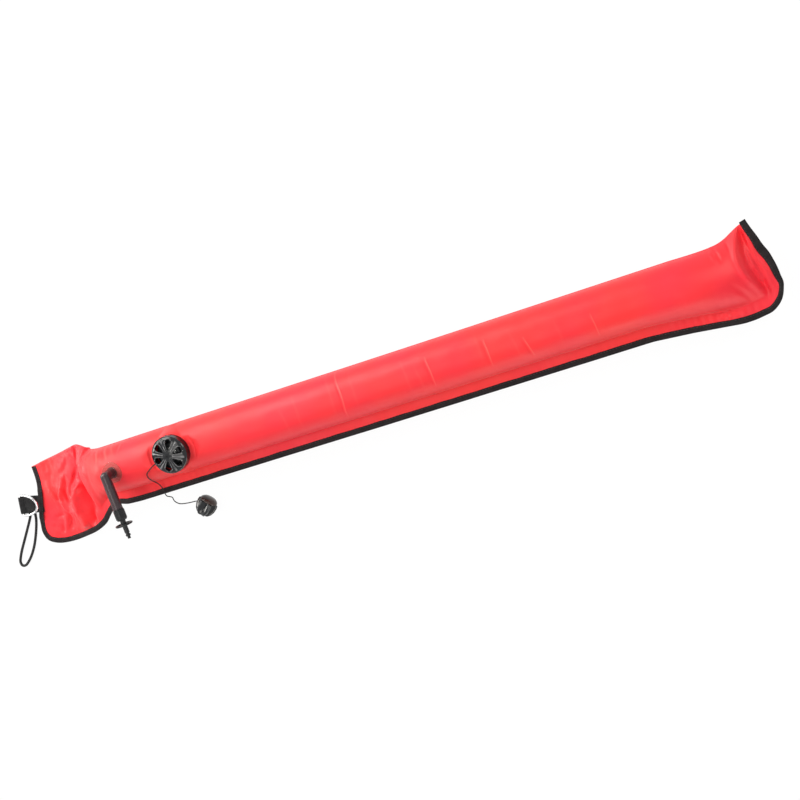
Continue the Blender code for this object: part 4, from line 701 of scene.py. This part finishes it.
def soft_noise(x, y, z, scale, seed):
    """Gentle unevenness from a few crossing waves, between about -1 and 1."""
    rng = np.random.default_rng(seed)
    total = np.zeros_like(x)
    for _ in range(9):
        direction = rng.normal(size=3)
        direction /= np.linalg.norm(direction)
        pitch = scale * rng.uniform(0.6, 1.5)
        phase = rng.uniform(0.0, math.tau)
        total += np.sin(math.tau * (x * direction[0] + y * direction[1] + z * direction[2]) / pitch + phase)
    return total / 4.5


def sway(x, y):
    """Long waves of the free edge, up and down."""
    return 0.7 * MM * soft_noise(x, y * 0.3, 0.0 * x, 110.0 * MM, 11)


def seat_height(z, radius):
    """Raised seat under the valve and the dip round it, on the upper sheet."""
    tent = VALVE.z - (radius - SEAT_RADIUS) * SKIRT_SLOPE
    dimple = VALVE.z + (radius - DIMPLE_START) * DIMPLE_RISE / DIMPLE_REACH
    z = np.where(radius < DIMPLE_END, soft_min(z, dimple, 0.5 * MM), z)
    return np.where(radius < SKIRT_END, soft_min(VALVE.z, -soft_min(-z, -tent, 0.5 * MM), 0.4 * MM), z)


def soft_min(a, b, blend):
    share = np.clip(0.5 + 0.5 * (b - a) / blend, 0.0, 1.0)
    return b * (1.0 - share) + a * share - blend * share * (1.0 - share)


def build_skin():
    """Plan, height and distance past the weld of a sheet, rows along the tube and columns across it."""
    rows = rib_rows()
    count = len(rows)
    fold = np.column_stack([rows[:, 0], TUBE_RADIUS + rows[:, 1]])
    edge = np.column_stack([rows[:, 2], -TUBE_RADIUS - SEAM_MARGIN - rows[:, 3]])
    across = fold - edge
    weld = edge + across / np.linalg.norm(across, axis=1)[:, None] * SEAM_MARGIN
    centre = (fold + weld) / 2.0
    half = (fold - weld) / 2.0
    length = np.linalg.norm(half, axis=1)
    angle = 2.0 * np.arctan2(rows[:, 6], length)
    share = np.linspace(1.0, -1.0, ARC + 1)
    along = np.sin(angle[:, None] * share) / np.sin(angle)[:, None]
    height = (length / np.sin(angle))[:, None] * (np.cos(angle[:, None] * share) - np.cos(angle)[:, None])
    x = centre[:, 0:1] + half[:, 0:1] * along
    y = centre[:, 1:2] + half[:, 1:2] * along
    x += rows[:, 4:5] * (1.0 - along ** 2) * (1.0 - rows[:, 5:6] * along)
    steps = np.linspace(0.0, 1.0, MARGIN + 1)[1:]
    x = np.hstack([x, weld[:, 0:1] + (edge - weld)[:, 0:1] * steps])
    y = np.hstack([y, weld[:, 1:2] + (edge - weld)[:, 1:2] * steps])
    height = np.hstack([height, np.zeros((count, MARGIN))])
    fuller = 2.2 * MM * np.exp(-((y / MM + 15.0) / 8.0) ** 2)
    fuller -= 1.6 * MM * np.exp(-((y / MM - 18.0) / 9.0) ** 2)
    fuller += 0.9 * MM * eased(-y, 38.0, 8.0)
    x += fuller * smooth_step((x - TOP_WELD) / (26.0 * MM))
    chord = 2.0 * length[:, None]
    past_weld = np.hstack([(1.0 - along) * length[:, None], chord + SEAM_MARGIN * steps]) - chord
    return x, y, height, past_weld


def skin_moves(x, y, past_weld):
    """Heights of folds and puckers, for both sheets, and for the chamber alone."""
    from_edge = SEAM_MARGIN - past_weld
    inner = eased(x - x[0:1], 7.0, 10.0) * eased(from_edge, 6.5, 9.0)
    tail = smooth_step((CREASE_X + 8.0 * MM - x) / (10.0 * MM))
    both = fold_height(x, y, TAIL_FOLDS) * inner * np.clip(tail + 0.25, 0.0, 1.0)
    both += slope_height(x, y) * inner
    rng = np.random.default_rng(3)
    run = x + 4.0 * MM * np.sin(x / (37.0 * MM)) + 3.0 * MM * np.sin(x / (91.0 * MM) + rng.uniform(0.0, 6.0))
    pucker = np.sin(math.tau * run / (10.5 * MM)) + 0.5 * np.sin(math.tau * run / (23.0 * MM) + 1.0)
    size = (0.16 + 0.30 * eased(x, 380.0, 120.0) + 0.12 * eased(-x, 360.0, 30.0)) * MM
    away = np.abs(past_weld)
    side = np.where(past_weld < 0.0, np.exp(-away / (9.0 * MM)), np.exp(-away / (26.0 * MM)))
    live = smooth_step((x - CREASE_X) / (25.0 * MM)) * smooth_step((TOP_WELD + 10.0 * MM - x) / (25.0 * MM))
    both += size * pucker * side * live
    both += sway(x, y) * eased(past_weld, -4.0, 24.0)
    crumple = 1.0 - np.abs(soft_noise(x, y, 0.0 * x, 22.0 * MM, 31))
    crumple += 0.5 * (1.0 - np.abs(soft_noise(x, y, 0.0 * x, 12.0 * MM, 32)))
    both += 0.7 * MM * crumple * inner * smooth_step((CREASE_X + 30.0 * MM - x) / (40.0 * MM))
    folds = fold_height(x, y, CHAMBER_FOLDS) * (eased(x[-1:] - x, 6.5, 5.0) * eased(from_edge, 6.5, 7.0))
    return both, folds + fold_height(x, y, CREASES_WITH_PAINTED_HIGHLIGHT)


def make_skin():
    """Both sheets, the folded side and the closed ends, with a hole for the valve's neck."""
    x, y, height, past_weld = build_skin()
    both, folds = skin_moves(x, y, past_weld)
    middle = middle_height(x, y) + both
    from_valve = np.hypot(x - VALVE.x, y - VALVE.y)
    from_hose = np.hypot(x - HOSE_X, y)
    calm = eased(from_valve, 34.0, 16.0) * eased(from_hose, 17.0, 10.0)
    full = smooth_step(np.clip(height / FULL_RISE, 0.0, 1.0) * 3.0)
    top_z = middle + FABRIC + height
    uneven = 0.32 * MM * soft_noise(x, y, top_z, 46.0 * MM, 5)
    uneven += 0.14 * MM * soft_noise(x, y, top_z, 17.0 * MM, 6)
    top_z += (uneven * full + folds) * calm
    top_z = seat_height(top_z, from_valve)
    low_z = middle - FABRIC - height
    low_z += 0.3 * MM * soft_noise(x, y, low_z, 50.0 * MM, 8) * full
    low_z = np.maximum(np.minimum(low_z, top_z - 2.0 * FABRIC * 0.98), 0.0)
    top = np.stack([x, y, top_z], axis=2)
    low = np.stack([x, y, low_z], axis=2)
    fold_turn = []
    for k in range(1, FOLD_STEPS + 1):
        turn = math.pi * k / (FOLD_STEPS + 1)
        a, b = low[:, 0], top[:, 0]
        point = (a + b) / 2.0 + (b - a) / 2.0 * -math.cos(turn)
        point[:, 1] += FABRIC * 0.7 * math.sin(turn)
        fold_turn.append(point)
    ring = np.concatenate([top, low[:, ::-1], np.stack(fold_turn, axis=1)], axis=1)
    mesh = grid_mesh("envelope_skin", ring)
    bm = open_mesh(mesh)
    cols = ring.shape[1]
    last = (len(ring) - 1) * cols
    side = x.shape[1]
    for base, flip in ((0, True), (last, False)):
        for j in range(side - 1):
            a, b = base + j, base + j + 1
            c, d = base + 2 * side - 2 - j, base + 2 * side - 1 - j
            corners = [bm.verts[i] for i in ((a, b, c, d) if flip else (d, c, b, a))]
            bm.faces.new(corners)
        cap = [bm.verts[base + i] for i in [0] + list(range(cols - 1, 2 * side - 2, -1))]
        bm.faces.new(cap if not flip else cap[::-1])
    near_hole = NECK_HOLE + 0.2 * MM
    inside = [
        face for face in bm.faces
        if all(v.co.z > UPPER_SHEET and (v.co.xy - VALVE.xy).length < near_hole for v in face.verts)
    ]
    bmesh.ops.delete(bm, geom=inside, context="FACES")
    for v in bm.verts:
        if v.co.z > UPPER_SHEET and v.is_boundary:
            aside = (v.co.xy - VALVE.xy).normalized() * NECK_HOLE
            v.co = (VALVE.x + aside.x, VALVE.y + aside.y, VALVE.z)
    store_mesh(bm, mesh)
    places = np.array([tuple(v.co) for v in mesh.vertices])
    # Painted highlight along the crease lines, on the upper half of the tube only
    highlight_share = fold_height(places[:, 0], places[:, 1], CREASES_WITH_PAINTED_HIGHLIGHT) / (0.30 * MM)
    highlight_share = np.where(places[:, 2] > TUBE_MIDDLE, np.clip(highlight_share, 0.0, 1.0), 0.0)
    layer = mesh.attributes.new("painted_highlight", "FLOAT", "POINT")
    layer.data.foreach_set("value", highlight_share)
    add_piece("envelope_skin", mesh, FINISH["red"], "buoy", ["envelope"])
    return x, y


skin_x, skin_y = make_skin()


# Edge binding
TAPE_STEP = 1.6         # mm from one station to the next


def edge_line():
    """Bound edge in the plan, from the tail's fold corner to the top's."""
    tail = np.column_stack([skin_x[0], skin_y[0]])
    side = np.column_stack([skin_x[1:-1, -1], skin_y[1:-1, -1]])
    top = np.column_stack([skin_x[-1], skin_y[-1]])[::-1]
    line = np.vstack([tail, side, top])
    last = line[-1] - line[-4]
    line = np.vstack([line, line[-1] + last / np.linalg.norm(last) * TAPE_END])
    flat = np.column_stack([line, np.zeros(len(line))])
    line = even_line(flat, TAPE_STEP * MM)[:, :2]
    ease_line(line, 8)
    return line


def tape_height(x, y):
    """Middle height of the sheet under the tape, with its small waves."""
    return middle_height(x, y) + sway(x, y) * eased(np.hypot(x - WEBBING_X, y - WEBBING_Y), 20.0, 12.0)


def tape_frame():
    """Edge line, its direction, the way in from it, and how far the tape stands off at the webbing."""
    line = edge_line()
    run = directions(line)
    inward = np.column_stack([-run[:, 1], run[:, 0]])
    aside = from_strap(line[:, 0], line[:, 1])
    swell = (WEBBING + GAP) * (1.0 - eased(aside - WEBBING_WIDTH / 2.0, 6.0, 8.0))
    swell = np.where(line[:, 0] < -500.0 * MM, swell, 0.0)
    return line, run, inward, swell


def make_tape():
    """Tape folded over the sheets' edge, a little wavy, and fuller at the top end's corner."""
    line, run, inward, swell = tape_frame()
    count = len(line)
    place = np.arange(count) * TAPE_STEP * MM
    rng = np.random.default_rng(21)
    wander = sum(
        np.sin(math.tau * place / pitch + rng.uniform(0.0, 6.0)) for pitch in (31 * MM, 47 * MM, 83 * MM)
    ) / 3.0
    inner = FABRIC + 0.1 * MM + swell
    y = line[:, 1] / MM
    fuller = 0.28 * np.exp(-((y - 14.0) / 16.0) ** 2) - 0.30 * np.exp(-((y + 42.0) / 16.0) ** 2)
    broad = 1.0 + eased(line[:, 0], 515.0, 15.0) * fuller
    # Distance in from the edge, share of the thickness, and how far both sides have closed together
    section = (
        (TAPE_WIDTH, 0.10, 0.0), (TAPE_WIDTH, 0.65, 0.0), (TAPE_WIDTH - 0.3 * MM, 0.85, 0.0),
        (TAPE_WIDTH - 1.6 * MM, 0.72, 0.0), (TAPE_WIDTH - 2.6 * MM, 0.92, 0.0), (3.0 * MM, 1.0, 0.0),
        (1.4 * MM, 1.0, 0.0), (0.3 * MM, 0.95, 0.1), (-0.5 * MM, 0.7, 0.25), (-0.95 * MM, 0.3, 0.55),
        (-1.1 * MM, 0.0, 1.0),
    )
    outer = [(*point, 1.0) for point in section] + [(*point, -1.0) for point in section[-2::-1]]
    points = []

    def add_row(edge, lift):
        plan = line + inward * edge[:, None]
        z = tape_height(plan[:, 0], plan[:, 1]) + lift
        points.append(np.column_stack([plan, np.maximum(z, 0.0)]))

    for across, top, share, sign in outer:
        edge = across * broad + (0.35 * MM * wander if across > 2.0 * MM else 0.0)
        add_row(edge, sign * (inner + TAPE * top) * (1.0 - share))
    reach = TAPE_WIDTH - 0.3 * MM
    for across, sign in ((reach, -1.0), (0.2 * MM, -1.0), (0.2 * MM, 1.0), (reach, 1.0)):
        add_row(across * broad, sign * inner * 0.97)
    grid = np.stack(points, axis=1)
    mesh = grid_mesh("edge_tape", grid)
    bm = open_mesh(mesh)
    size = grid.shape[1]
    half = len(section)
    wall = [size - 1, size - 2, size - 3, size - 4]
    for base in (0, (count - 1) * size):
        top_side = list(range(half)) + [wall[1], wall[0]]
        low_side = list(range(half - 1, len(outer))) + [wall[3], wall[2], wall[1]]
        for corners in (top_side, low_side):
            bm.faces.new([bm.verts[base + i] for i in corners])
    store_mesh(bm, mesh)
    add_piece("edge_tape", mesh, FINISH["tape"], "buoy", ["edge_binding"])
    make_stitches(line, run, inward, inner, broad)


def stitch_mesh(places, length, radius):
    """Short round-ended threads, at places of (middle, run, up)."""
    bm = bmesh.new()
    for middle, run, up in places:
        side = run.cross(up).normalized()
        rings = []
        for t, r in ((-0.5, 0.25), (-0.42, 0.8), (-0.2, 1.0), (0.2, 1.0), (0.42, 0.8), (0.5, 0.25)):
            centre = middle + run * length * t - up * radius * (2.2 * abs(t)) ** 3
            ring = []
            for k in range(6):
                out = side * math.cos(math.tau * k / 6) + up * math.sin(math.tau * k / 6)
                ring.append(bm.verts.new(centre + out * radius * r))
            rings.append(ring)
        join_rings(bm, rings)
    return store_mesh(bm, bpy.data.meshes.new("stitches"))


def make_stitches(line, run, inward, inner, broad):
    """One row of lockstitch near the tape's inner side, above and below."""
    pitch = 4.0 * MM
    total = (len(line) - 1) * TAPE_STEP * MM
    count = int(total / pitch)
    places = []
    for k in range(count):
        at = (k + 0.5) * pitch / (TAPE_STEP * MM)
        i = min(int(at), len(line) - 2)
        t = at - i
        plan = (line[i] * (1 - t) + line[i + 1] * t) + inward[i] * (TAPE_WIDTH * broad[i] - 1.6 * MM)
        x, y = np.array([plan[0]]), np.array([plan[1]])
        height = float(tape_height(x, y)[0])
        for sign in (1.0, -1.0):
            z = height + sign * (inner[i] + TAPE * 0.80)
            if z > 0.5 * MM:
                places.append((
                    Vector((plan[0], plan[1], z)), Vector((*run[i], 0.0)), Vector((0.0, 0.0, sign)),
                ))
    add_piece("tape_stitches", stitch_mesh(places, 2.9 * MM, 0.26 * MM), FINISH["thread"])


make_tape()


# Webbing tab
def tab_point(along, across, height):
    """Place in the object's frame of a point measured from the tab's root."""
    out = (math.cos(WEBBING_ANGLE), math.sin(WEBBING_ANGLE))
    return (
        WEBBING_X + out[0] * along - out[1] * across,
        WEBBING_Y + out[1] * along + out[0] * across,
        height,
    )


def make_strap():
    """Folded strap with cross ribs, from its upper root round the bar and back."""
    root = float(middle_height(np.array([WEBBING_X]), np.array([WEBBING_Y]))[0])
    lift = FABRIC + GAP + WEBBING / 2.0
    bar = 29.5 * MM             # axis of the fold, from the root
    bar_height = 6.1 * MM
    fold = 2.9 * MM
    under = -6.2 * MM           # ends under the binding
    edge = 4.0 * MM
    level = 9.2 * MM            # both legs run level from here
    near_bar = 21.6 * MM
    upper_leg = 6.7 * MM
    lower_leg = 0.9 * MM
    upper = [(under, root + lift), (edge, root + lift), (level, upper_leg), (near_bar, upper_leg)]
    turn = []
    for i in range(25):
        angle = math.radians(107.0) * (1.0 - i / 12.0)
        turn.append((bar + fold * math.cos(angle), bar_height + fold * math.sin(angle)))
    lower = [(near_bar, lower_leg), (level, lower_leg), (edge, root - lift), (under, root - lift)]
    middle = np.array([(a, 0.0, h) for a, h in upper + turn + lower])
    middle = even_line(middle, 0.55 * MM)
    ease_line(middle, 4)
    run = directions(middle)
    normal = np.column_stack([-run[:, 2], np.zeros(len(run)), run[:, 0]])
    wide = 24
    half = WEBBING_WIDTH / 2.0
    rib = 0.07 * MM * np.sin(np.arange(len(middle)) * math.pi / 2.0 * 1.02)
    sides = []
    for sign in (1.0, -1.0):
        for k in range(wide + 1):
            across = half * math.sin(math.pi / 2.0 * (2.0 * k / wide - 1.0)) * sign
            thinned = 1.0 - 0.55 * abs(across / half) ** 12
            band = 0.05 * MM * math.cos(math.tau * across / (3.1 * MM))
            thick = sign * (WEBBING / 2.0 - 0.08 * MM) * thinned + sign * (rib + band)
            at = middle + normal * np.asarray(thick)[:, None]
            sides.append([tab_point(p[0], across, max(p[2], 0.05 * MM)) for p in at])
    grid = np.array(sides).transpose(1, 0, 2)
    mesh = grid_mesh("webbing_strap", grid, caps=True)
    store_mesh(open_mesh(mesh), mesh)
    add_piece("webbing_strap", mesh, FINISH["webbing"], "buoy", ["webbing_tab"])
    places = []
    out = Vector((math.cos(WEBBING_ANGLE), math.sin(WEBBING_ANGLE), 0.0))
    aside = Vector((-out.y, out.x, 0.0))
    share = (5.6 * MM - edge) / (5.2 * MM)
    near_height = (root + lift) * (1 - share) + upper_leg * share + 0.68 * MM
    for i in range(8):
        across = (i - 3.5) * 2.8 * MM
        for along, height in ((5.6 * MM, near_height), (24.4 * MM, 7.45 * MM)):
            places.append((Vector(tab_point(along, across, height)), aside, Vector((0.0, 0.0, 1.0))))
    add_piece("strap_stitches", stitch_mesh(places, 2.1 * MM, 0.22 * MM), FINISH["thread"])


make_strap()


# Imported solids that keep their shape
SOLID_FINISHES = {
    "d_ring": "chrome",
    "valve_base": "plastic",
    "clamp_ring": "plastic",
    "valve_cap": "gloss",
    "poppet_plate": "plastic",
    "poppet_seal": "rubber",
    "inflator_elbow": "hose",
    "inflator_housing": "plastic",
    "lock_collar": "plastic",
    "mouthpiece": "plastic",
    "inflator_poppet": "plastic",
    "inflator_seal": "rubber",
    "valve_gasket": "rubber",
    "knob_body": "gloss",
    "knob_cap": "brown",
}
BEVELS = {               # mm
    "valve_cap": 0.45, "clamp_ring": 0.25, "valve_base": 0.25, "mouthpiece": 0.3, "lock_collar": 0.25,
    "inflator_housing": 0.25, "knob_body": 0.5, "knob_cap": 0.35, "inflator_elbow": 0.3,
}
PLAIN_EDGE = 35.0       # degrees from which an edge shades as sharp
ROUNDER = {"d_ring": 70.0, "inflator_elbow": 50.0, "knob_body": 42.0}


def dress_solids():
    """Finish, rounded edges and smooth shading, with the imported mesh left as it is."""
    for name, node in NODES.items():
        finish = SOLID_FINISHES.get(name)
        if finish is None:
            continue
        node.data.materials.clear()
        node.data.materials.append(FINISH[finish])
        node.data.shade_smooth()
        new = node.modifiers.new
        set_all(new("joined", "WELD"), merge_threshold=0.01 * MM)
        if name in BEVELS:
            set_all(
                new("rounded", "BEVEL"), width=BEVELS[name] * MM, segments=2, limit_method="ANGLE",
                angle_limit=math.radians(40.0), use_clamp_overlap=True, harden_normals=False,
            )
        split = math.radians(ROUNDER.get(name, PLAIN_EDGE))
        set_all(new("edges", "EDGE_SPLIT"), split_angle=split, use_edge_sharp=False)
        set_all(new("normals", "WEIGHTED_NORMAL"), keep_sharp=True)


dress_solids()


# Springs, as coils of round wire in place of the imported ones
def coil_mesh(name, place, turns, start, end, wire, flat=0.0):
    """Round wire in a coil from a (radius, height) to another, with its axis set by a place."""
    steps = turns * 32
    points = []
    for i in range(steps + 1):
        share = i / steps
        angle = math.tau * turns * share
        radius = start[0] + (end[0] - start[0]) * share
        climb = min(max((share - flat) / (1.0 - 2.0 * flat), 0.0), 1.0)
        height = start[1] + (end[1] - start[1]) * climb
        points.append(place @ Vector((radius * math.cos(angle), radius * math.sin(angle), height)))
    return sweep(name, [tuple(p) for p in points], round_section(wire, 10))


def make_springs():
    place = Matrix.Translation(VALVE)
    mesh = coil_mesh(
        "relief_coil", place, 3, (11.0 * MM, 9.70 * MM), (6.0 * MM, 14.64 * MM), 0.35 * MM, 0.5 / 3.0,
    )
    coil = add_piece("relief_coil", mesh, FINISH["steel"], "buoy", ["relief_spring"])
    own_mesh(coil)
    hose = Matrix.Translation((-383.6 * MM, -48.2 * MM, 91.0 * MM)) @ Matrix.Rotation(math.pi / 2.0, 4, "X")
    mesh = coil_mesh("mouthpiece_coil", hose, 5, (2.95 * MM, -5.35 * MM), (2.95 * MM, 2.35 * MM), 0.35 * MM)
    coil = add_piece("mouthpiece_coil", mesh, FINISH["steel"], "buoy", ["mouthpiece_spring"])
    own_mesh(coil)


make_springs()


# Ribs on the valve's cap
SPOKES = 6
CAP_TURN = -21.0        # degrees to the first spoke
# Windows between the spokes, mm from the hub and half the width there
WINDOW_SHAPE = ((8.5, 1.2), (14.0, 3.3), (19.0, 5.0), (21.2, 4.4), (22.4, 2.2))


def make_cap_ribs():
    """Thin ribs along the middle and both sides of each of the cap's six spokes, in a lighter grey that
    paints their highlight.
    """
    cap = NODES["valve_cap"].data
    tree = BVHTree.FromPolygons([v.co for v in cap.vertices], [p.vertices for p in cap.polygons])
    shape = np.array(WINDOW_SHAPE) * MM
    bm = bmesh.new()
    down = Vector((0.0, 0.0, -1.0))
    for spoke in range(SPOKES):
        middle = math.radians(CAP_TURN + 60.0 * spoke)
        for side in (-1.0, 0.0, 1.0):
            sections = []
            for radius in np.linspace(7.0, 23.6, 15) * MM:
                half = float(np.interp(radius, shape[:, 0], shape[:, 1]))
                turn = max(math.radians(30.0) - half / radius - 0.75 * MM / radius, 0.0) * side
                way = middle + turn
                spot = Vector((VALVE.x + radius * math.cos(way), VALVE.y + radius * math.sin(way), 0.0))
                hit = tree.ray_cast(spot + Vector((0.0, 0.0, 0.2)), down)[0]
                if hit is None or hit.z < VALVE.z + 9.0 * MM:
                    continue
                aside = Vector((-math.sin(way), math.cos(way), 0.0))
                fade = min(1.0, (radius / MM - 6.2) / 2.5, (24.4 - radius / MM) / 2.0)
                crest = Vector((0.0, 0.0, (0.42 if side else 0.5) * MM * fade))
                low = Vector((0.0, 0.0, -0.30 * MM))
                wide = (0.40 + 0.55 * (radius / MM - 7.0) / 16.6) * MM * (0.8 if side else 1.2)
                corners = ((-1.4, wide, low), (1.4, wide, low), (0.06, MM, crest), (-0.06, MM, crest))
                places = [hit + aside * share * size + up for share, size, up in corners]
                sections.append([bm.verts.new(place) for place in places])
            if len(sections) > 1:
                join_rings(bm, sections)
    add_piece("cap_ribs", store_mesh(bm, bpy.data.meshes.new("cap_ribs")), FINISH["ribs"], smooth=False)


make_cap_ribs()


# Floor and lights
def background_rays(tree):
    """1 for the rays that show the background: straight to the camera, and off gloss or through glass."""
    rays = add_node(tree, "ShaderNodeLightPath").outputs
    seen = rays["Is Camera Ray"]
    for kind in ("Is Glossy Ray", "Is Transmission Ray"):
        seen = add_node(tree, "ShaderNodeMath", {0: seen, 1: rays[kind]}, operation="MAXIMUM").outputs[0]
    return seen


def make_floor():
    """White floor that keeps the object's shadow."""
    floor = bpy.data.meshes.new("floor")
    bm = bmesh.new()
    bmesh.ops.create_grid(bm, x_segments=2, y_segments=2, size=6.0)
    bm.to_mesh(floor)
    bm.free()
    piece = new_object("floor", floor)
    piece.location.z = -0.05 * MM
    white = Finish("floor_white", (0.66, 0.66, 0.66), 0.9, Specular_IOR_Level=0.1)
    glow = white.add("ShaderNodeEmission", {"Color": WHITE, "Strength": 1.04}).outputs["Emission"]
    share = white.math("MULTIPLY", background_rays(white.tree), 0.93)
    inputs = {"Fac": share, 1: white.shader.outputs["BSDF"], 2: glow}
    mix = white.add("ShaderNodeMixShader", inputs).outputs["Shader"]
    white.tree.links.new(mix, white.tree.nodes["Material Output"].inputs["Surface"])
    floor.materials.append(white.material)


# Each lamp: name, place, aim, size and power
LAMPS = (
    ("key", (-1.05, 1.4, 0.95), (-0.1, 0.0, 0.03), (1.7, 0.8), 36.0),
    ("top", (-0.7, -0.1, 2.6), (0.0, 0.0, 0.0), (1.9, 1.2), 18.0),
    ("left", (-1.9, 0.5, 0.72), (-0.45, 0.0, 0.05), (0.7, 0.5), 15.0),
    ("front", (0.4, -1.9, 0.45), (0.2, 0.0, 0.03), (2.2, 0.4), 15.0),
    ("right", (1.2, 0.6, 1.1), (0.52, 0.0, 0.03), (0.6, 0.5), 9.0),
    ("glint", (-0.8, 0.55, 1.3), (-0.3, 0.0, 0.06), (0.12, 0.12), 1.2),
)
WARM = (1.0, 0.97, 0.91)


def make_lights():
    """World that is brighter above, and the lamps."""
    world = bpy.data.worlds.new("studio")
    scene.world = world
    world.use_nodes = True
    tree = world.node_tree
    back = tree.nodes["Background"]
    coords = add_node(tree, "ShaderNodeTexCoord").outputs["Generated"]
    height = add_node(tree, "ShaderNodeSeparateXYZ", {"Vector": coords}).outputs["Z"]
    level = add_node(tree, "ShaderNodeMapRange", {
        "Value": height, "From Min": 0.0, "From Max": 0.9, "To Min": 0.13, "To Max": 0.30,
    }).outputs["Result"]
    seen = add_node(tree, "ShaderNodeMath", {0: background_rays(tree), 1: level}, operation="MAXIMUM")
    tree.links.new(seen.outputs[0], back.inputs["Strength"])
    back.inputs["Color"].default_value = WHITE
    for name, place, aim, size, power in LAMPS:
        lamp = bpy.data.lights.new(name, "AREA")
        set_all(lamp, shape="RECTANGLE", size=size[0], size_y=size[1], energy=power, color=WARM)
        light = new_object(name, lamp)
        light.location = place
        light.rotation_euler = (Vector(aim) - Vector(place)).to_track_quat("-Z", "Y").to_euler()


make_floor()
make_lights()
scene.view_settings.view_transform = "Standard"
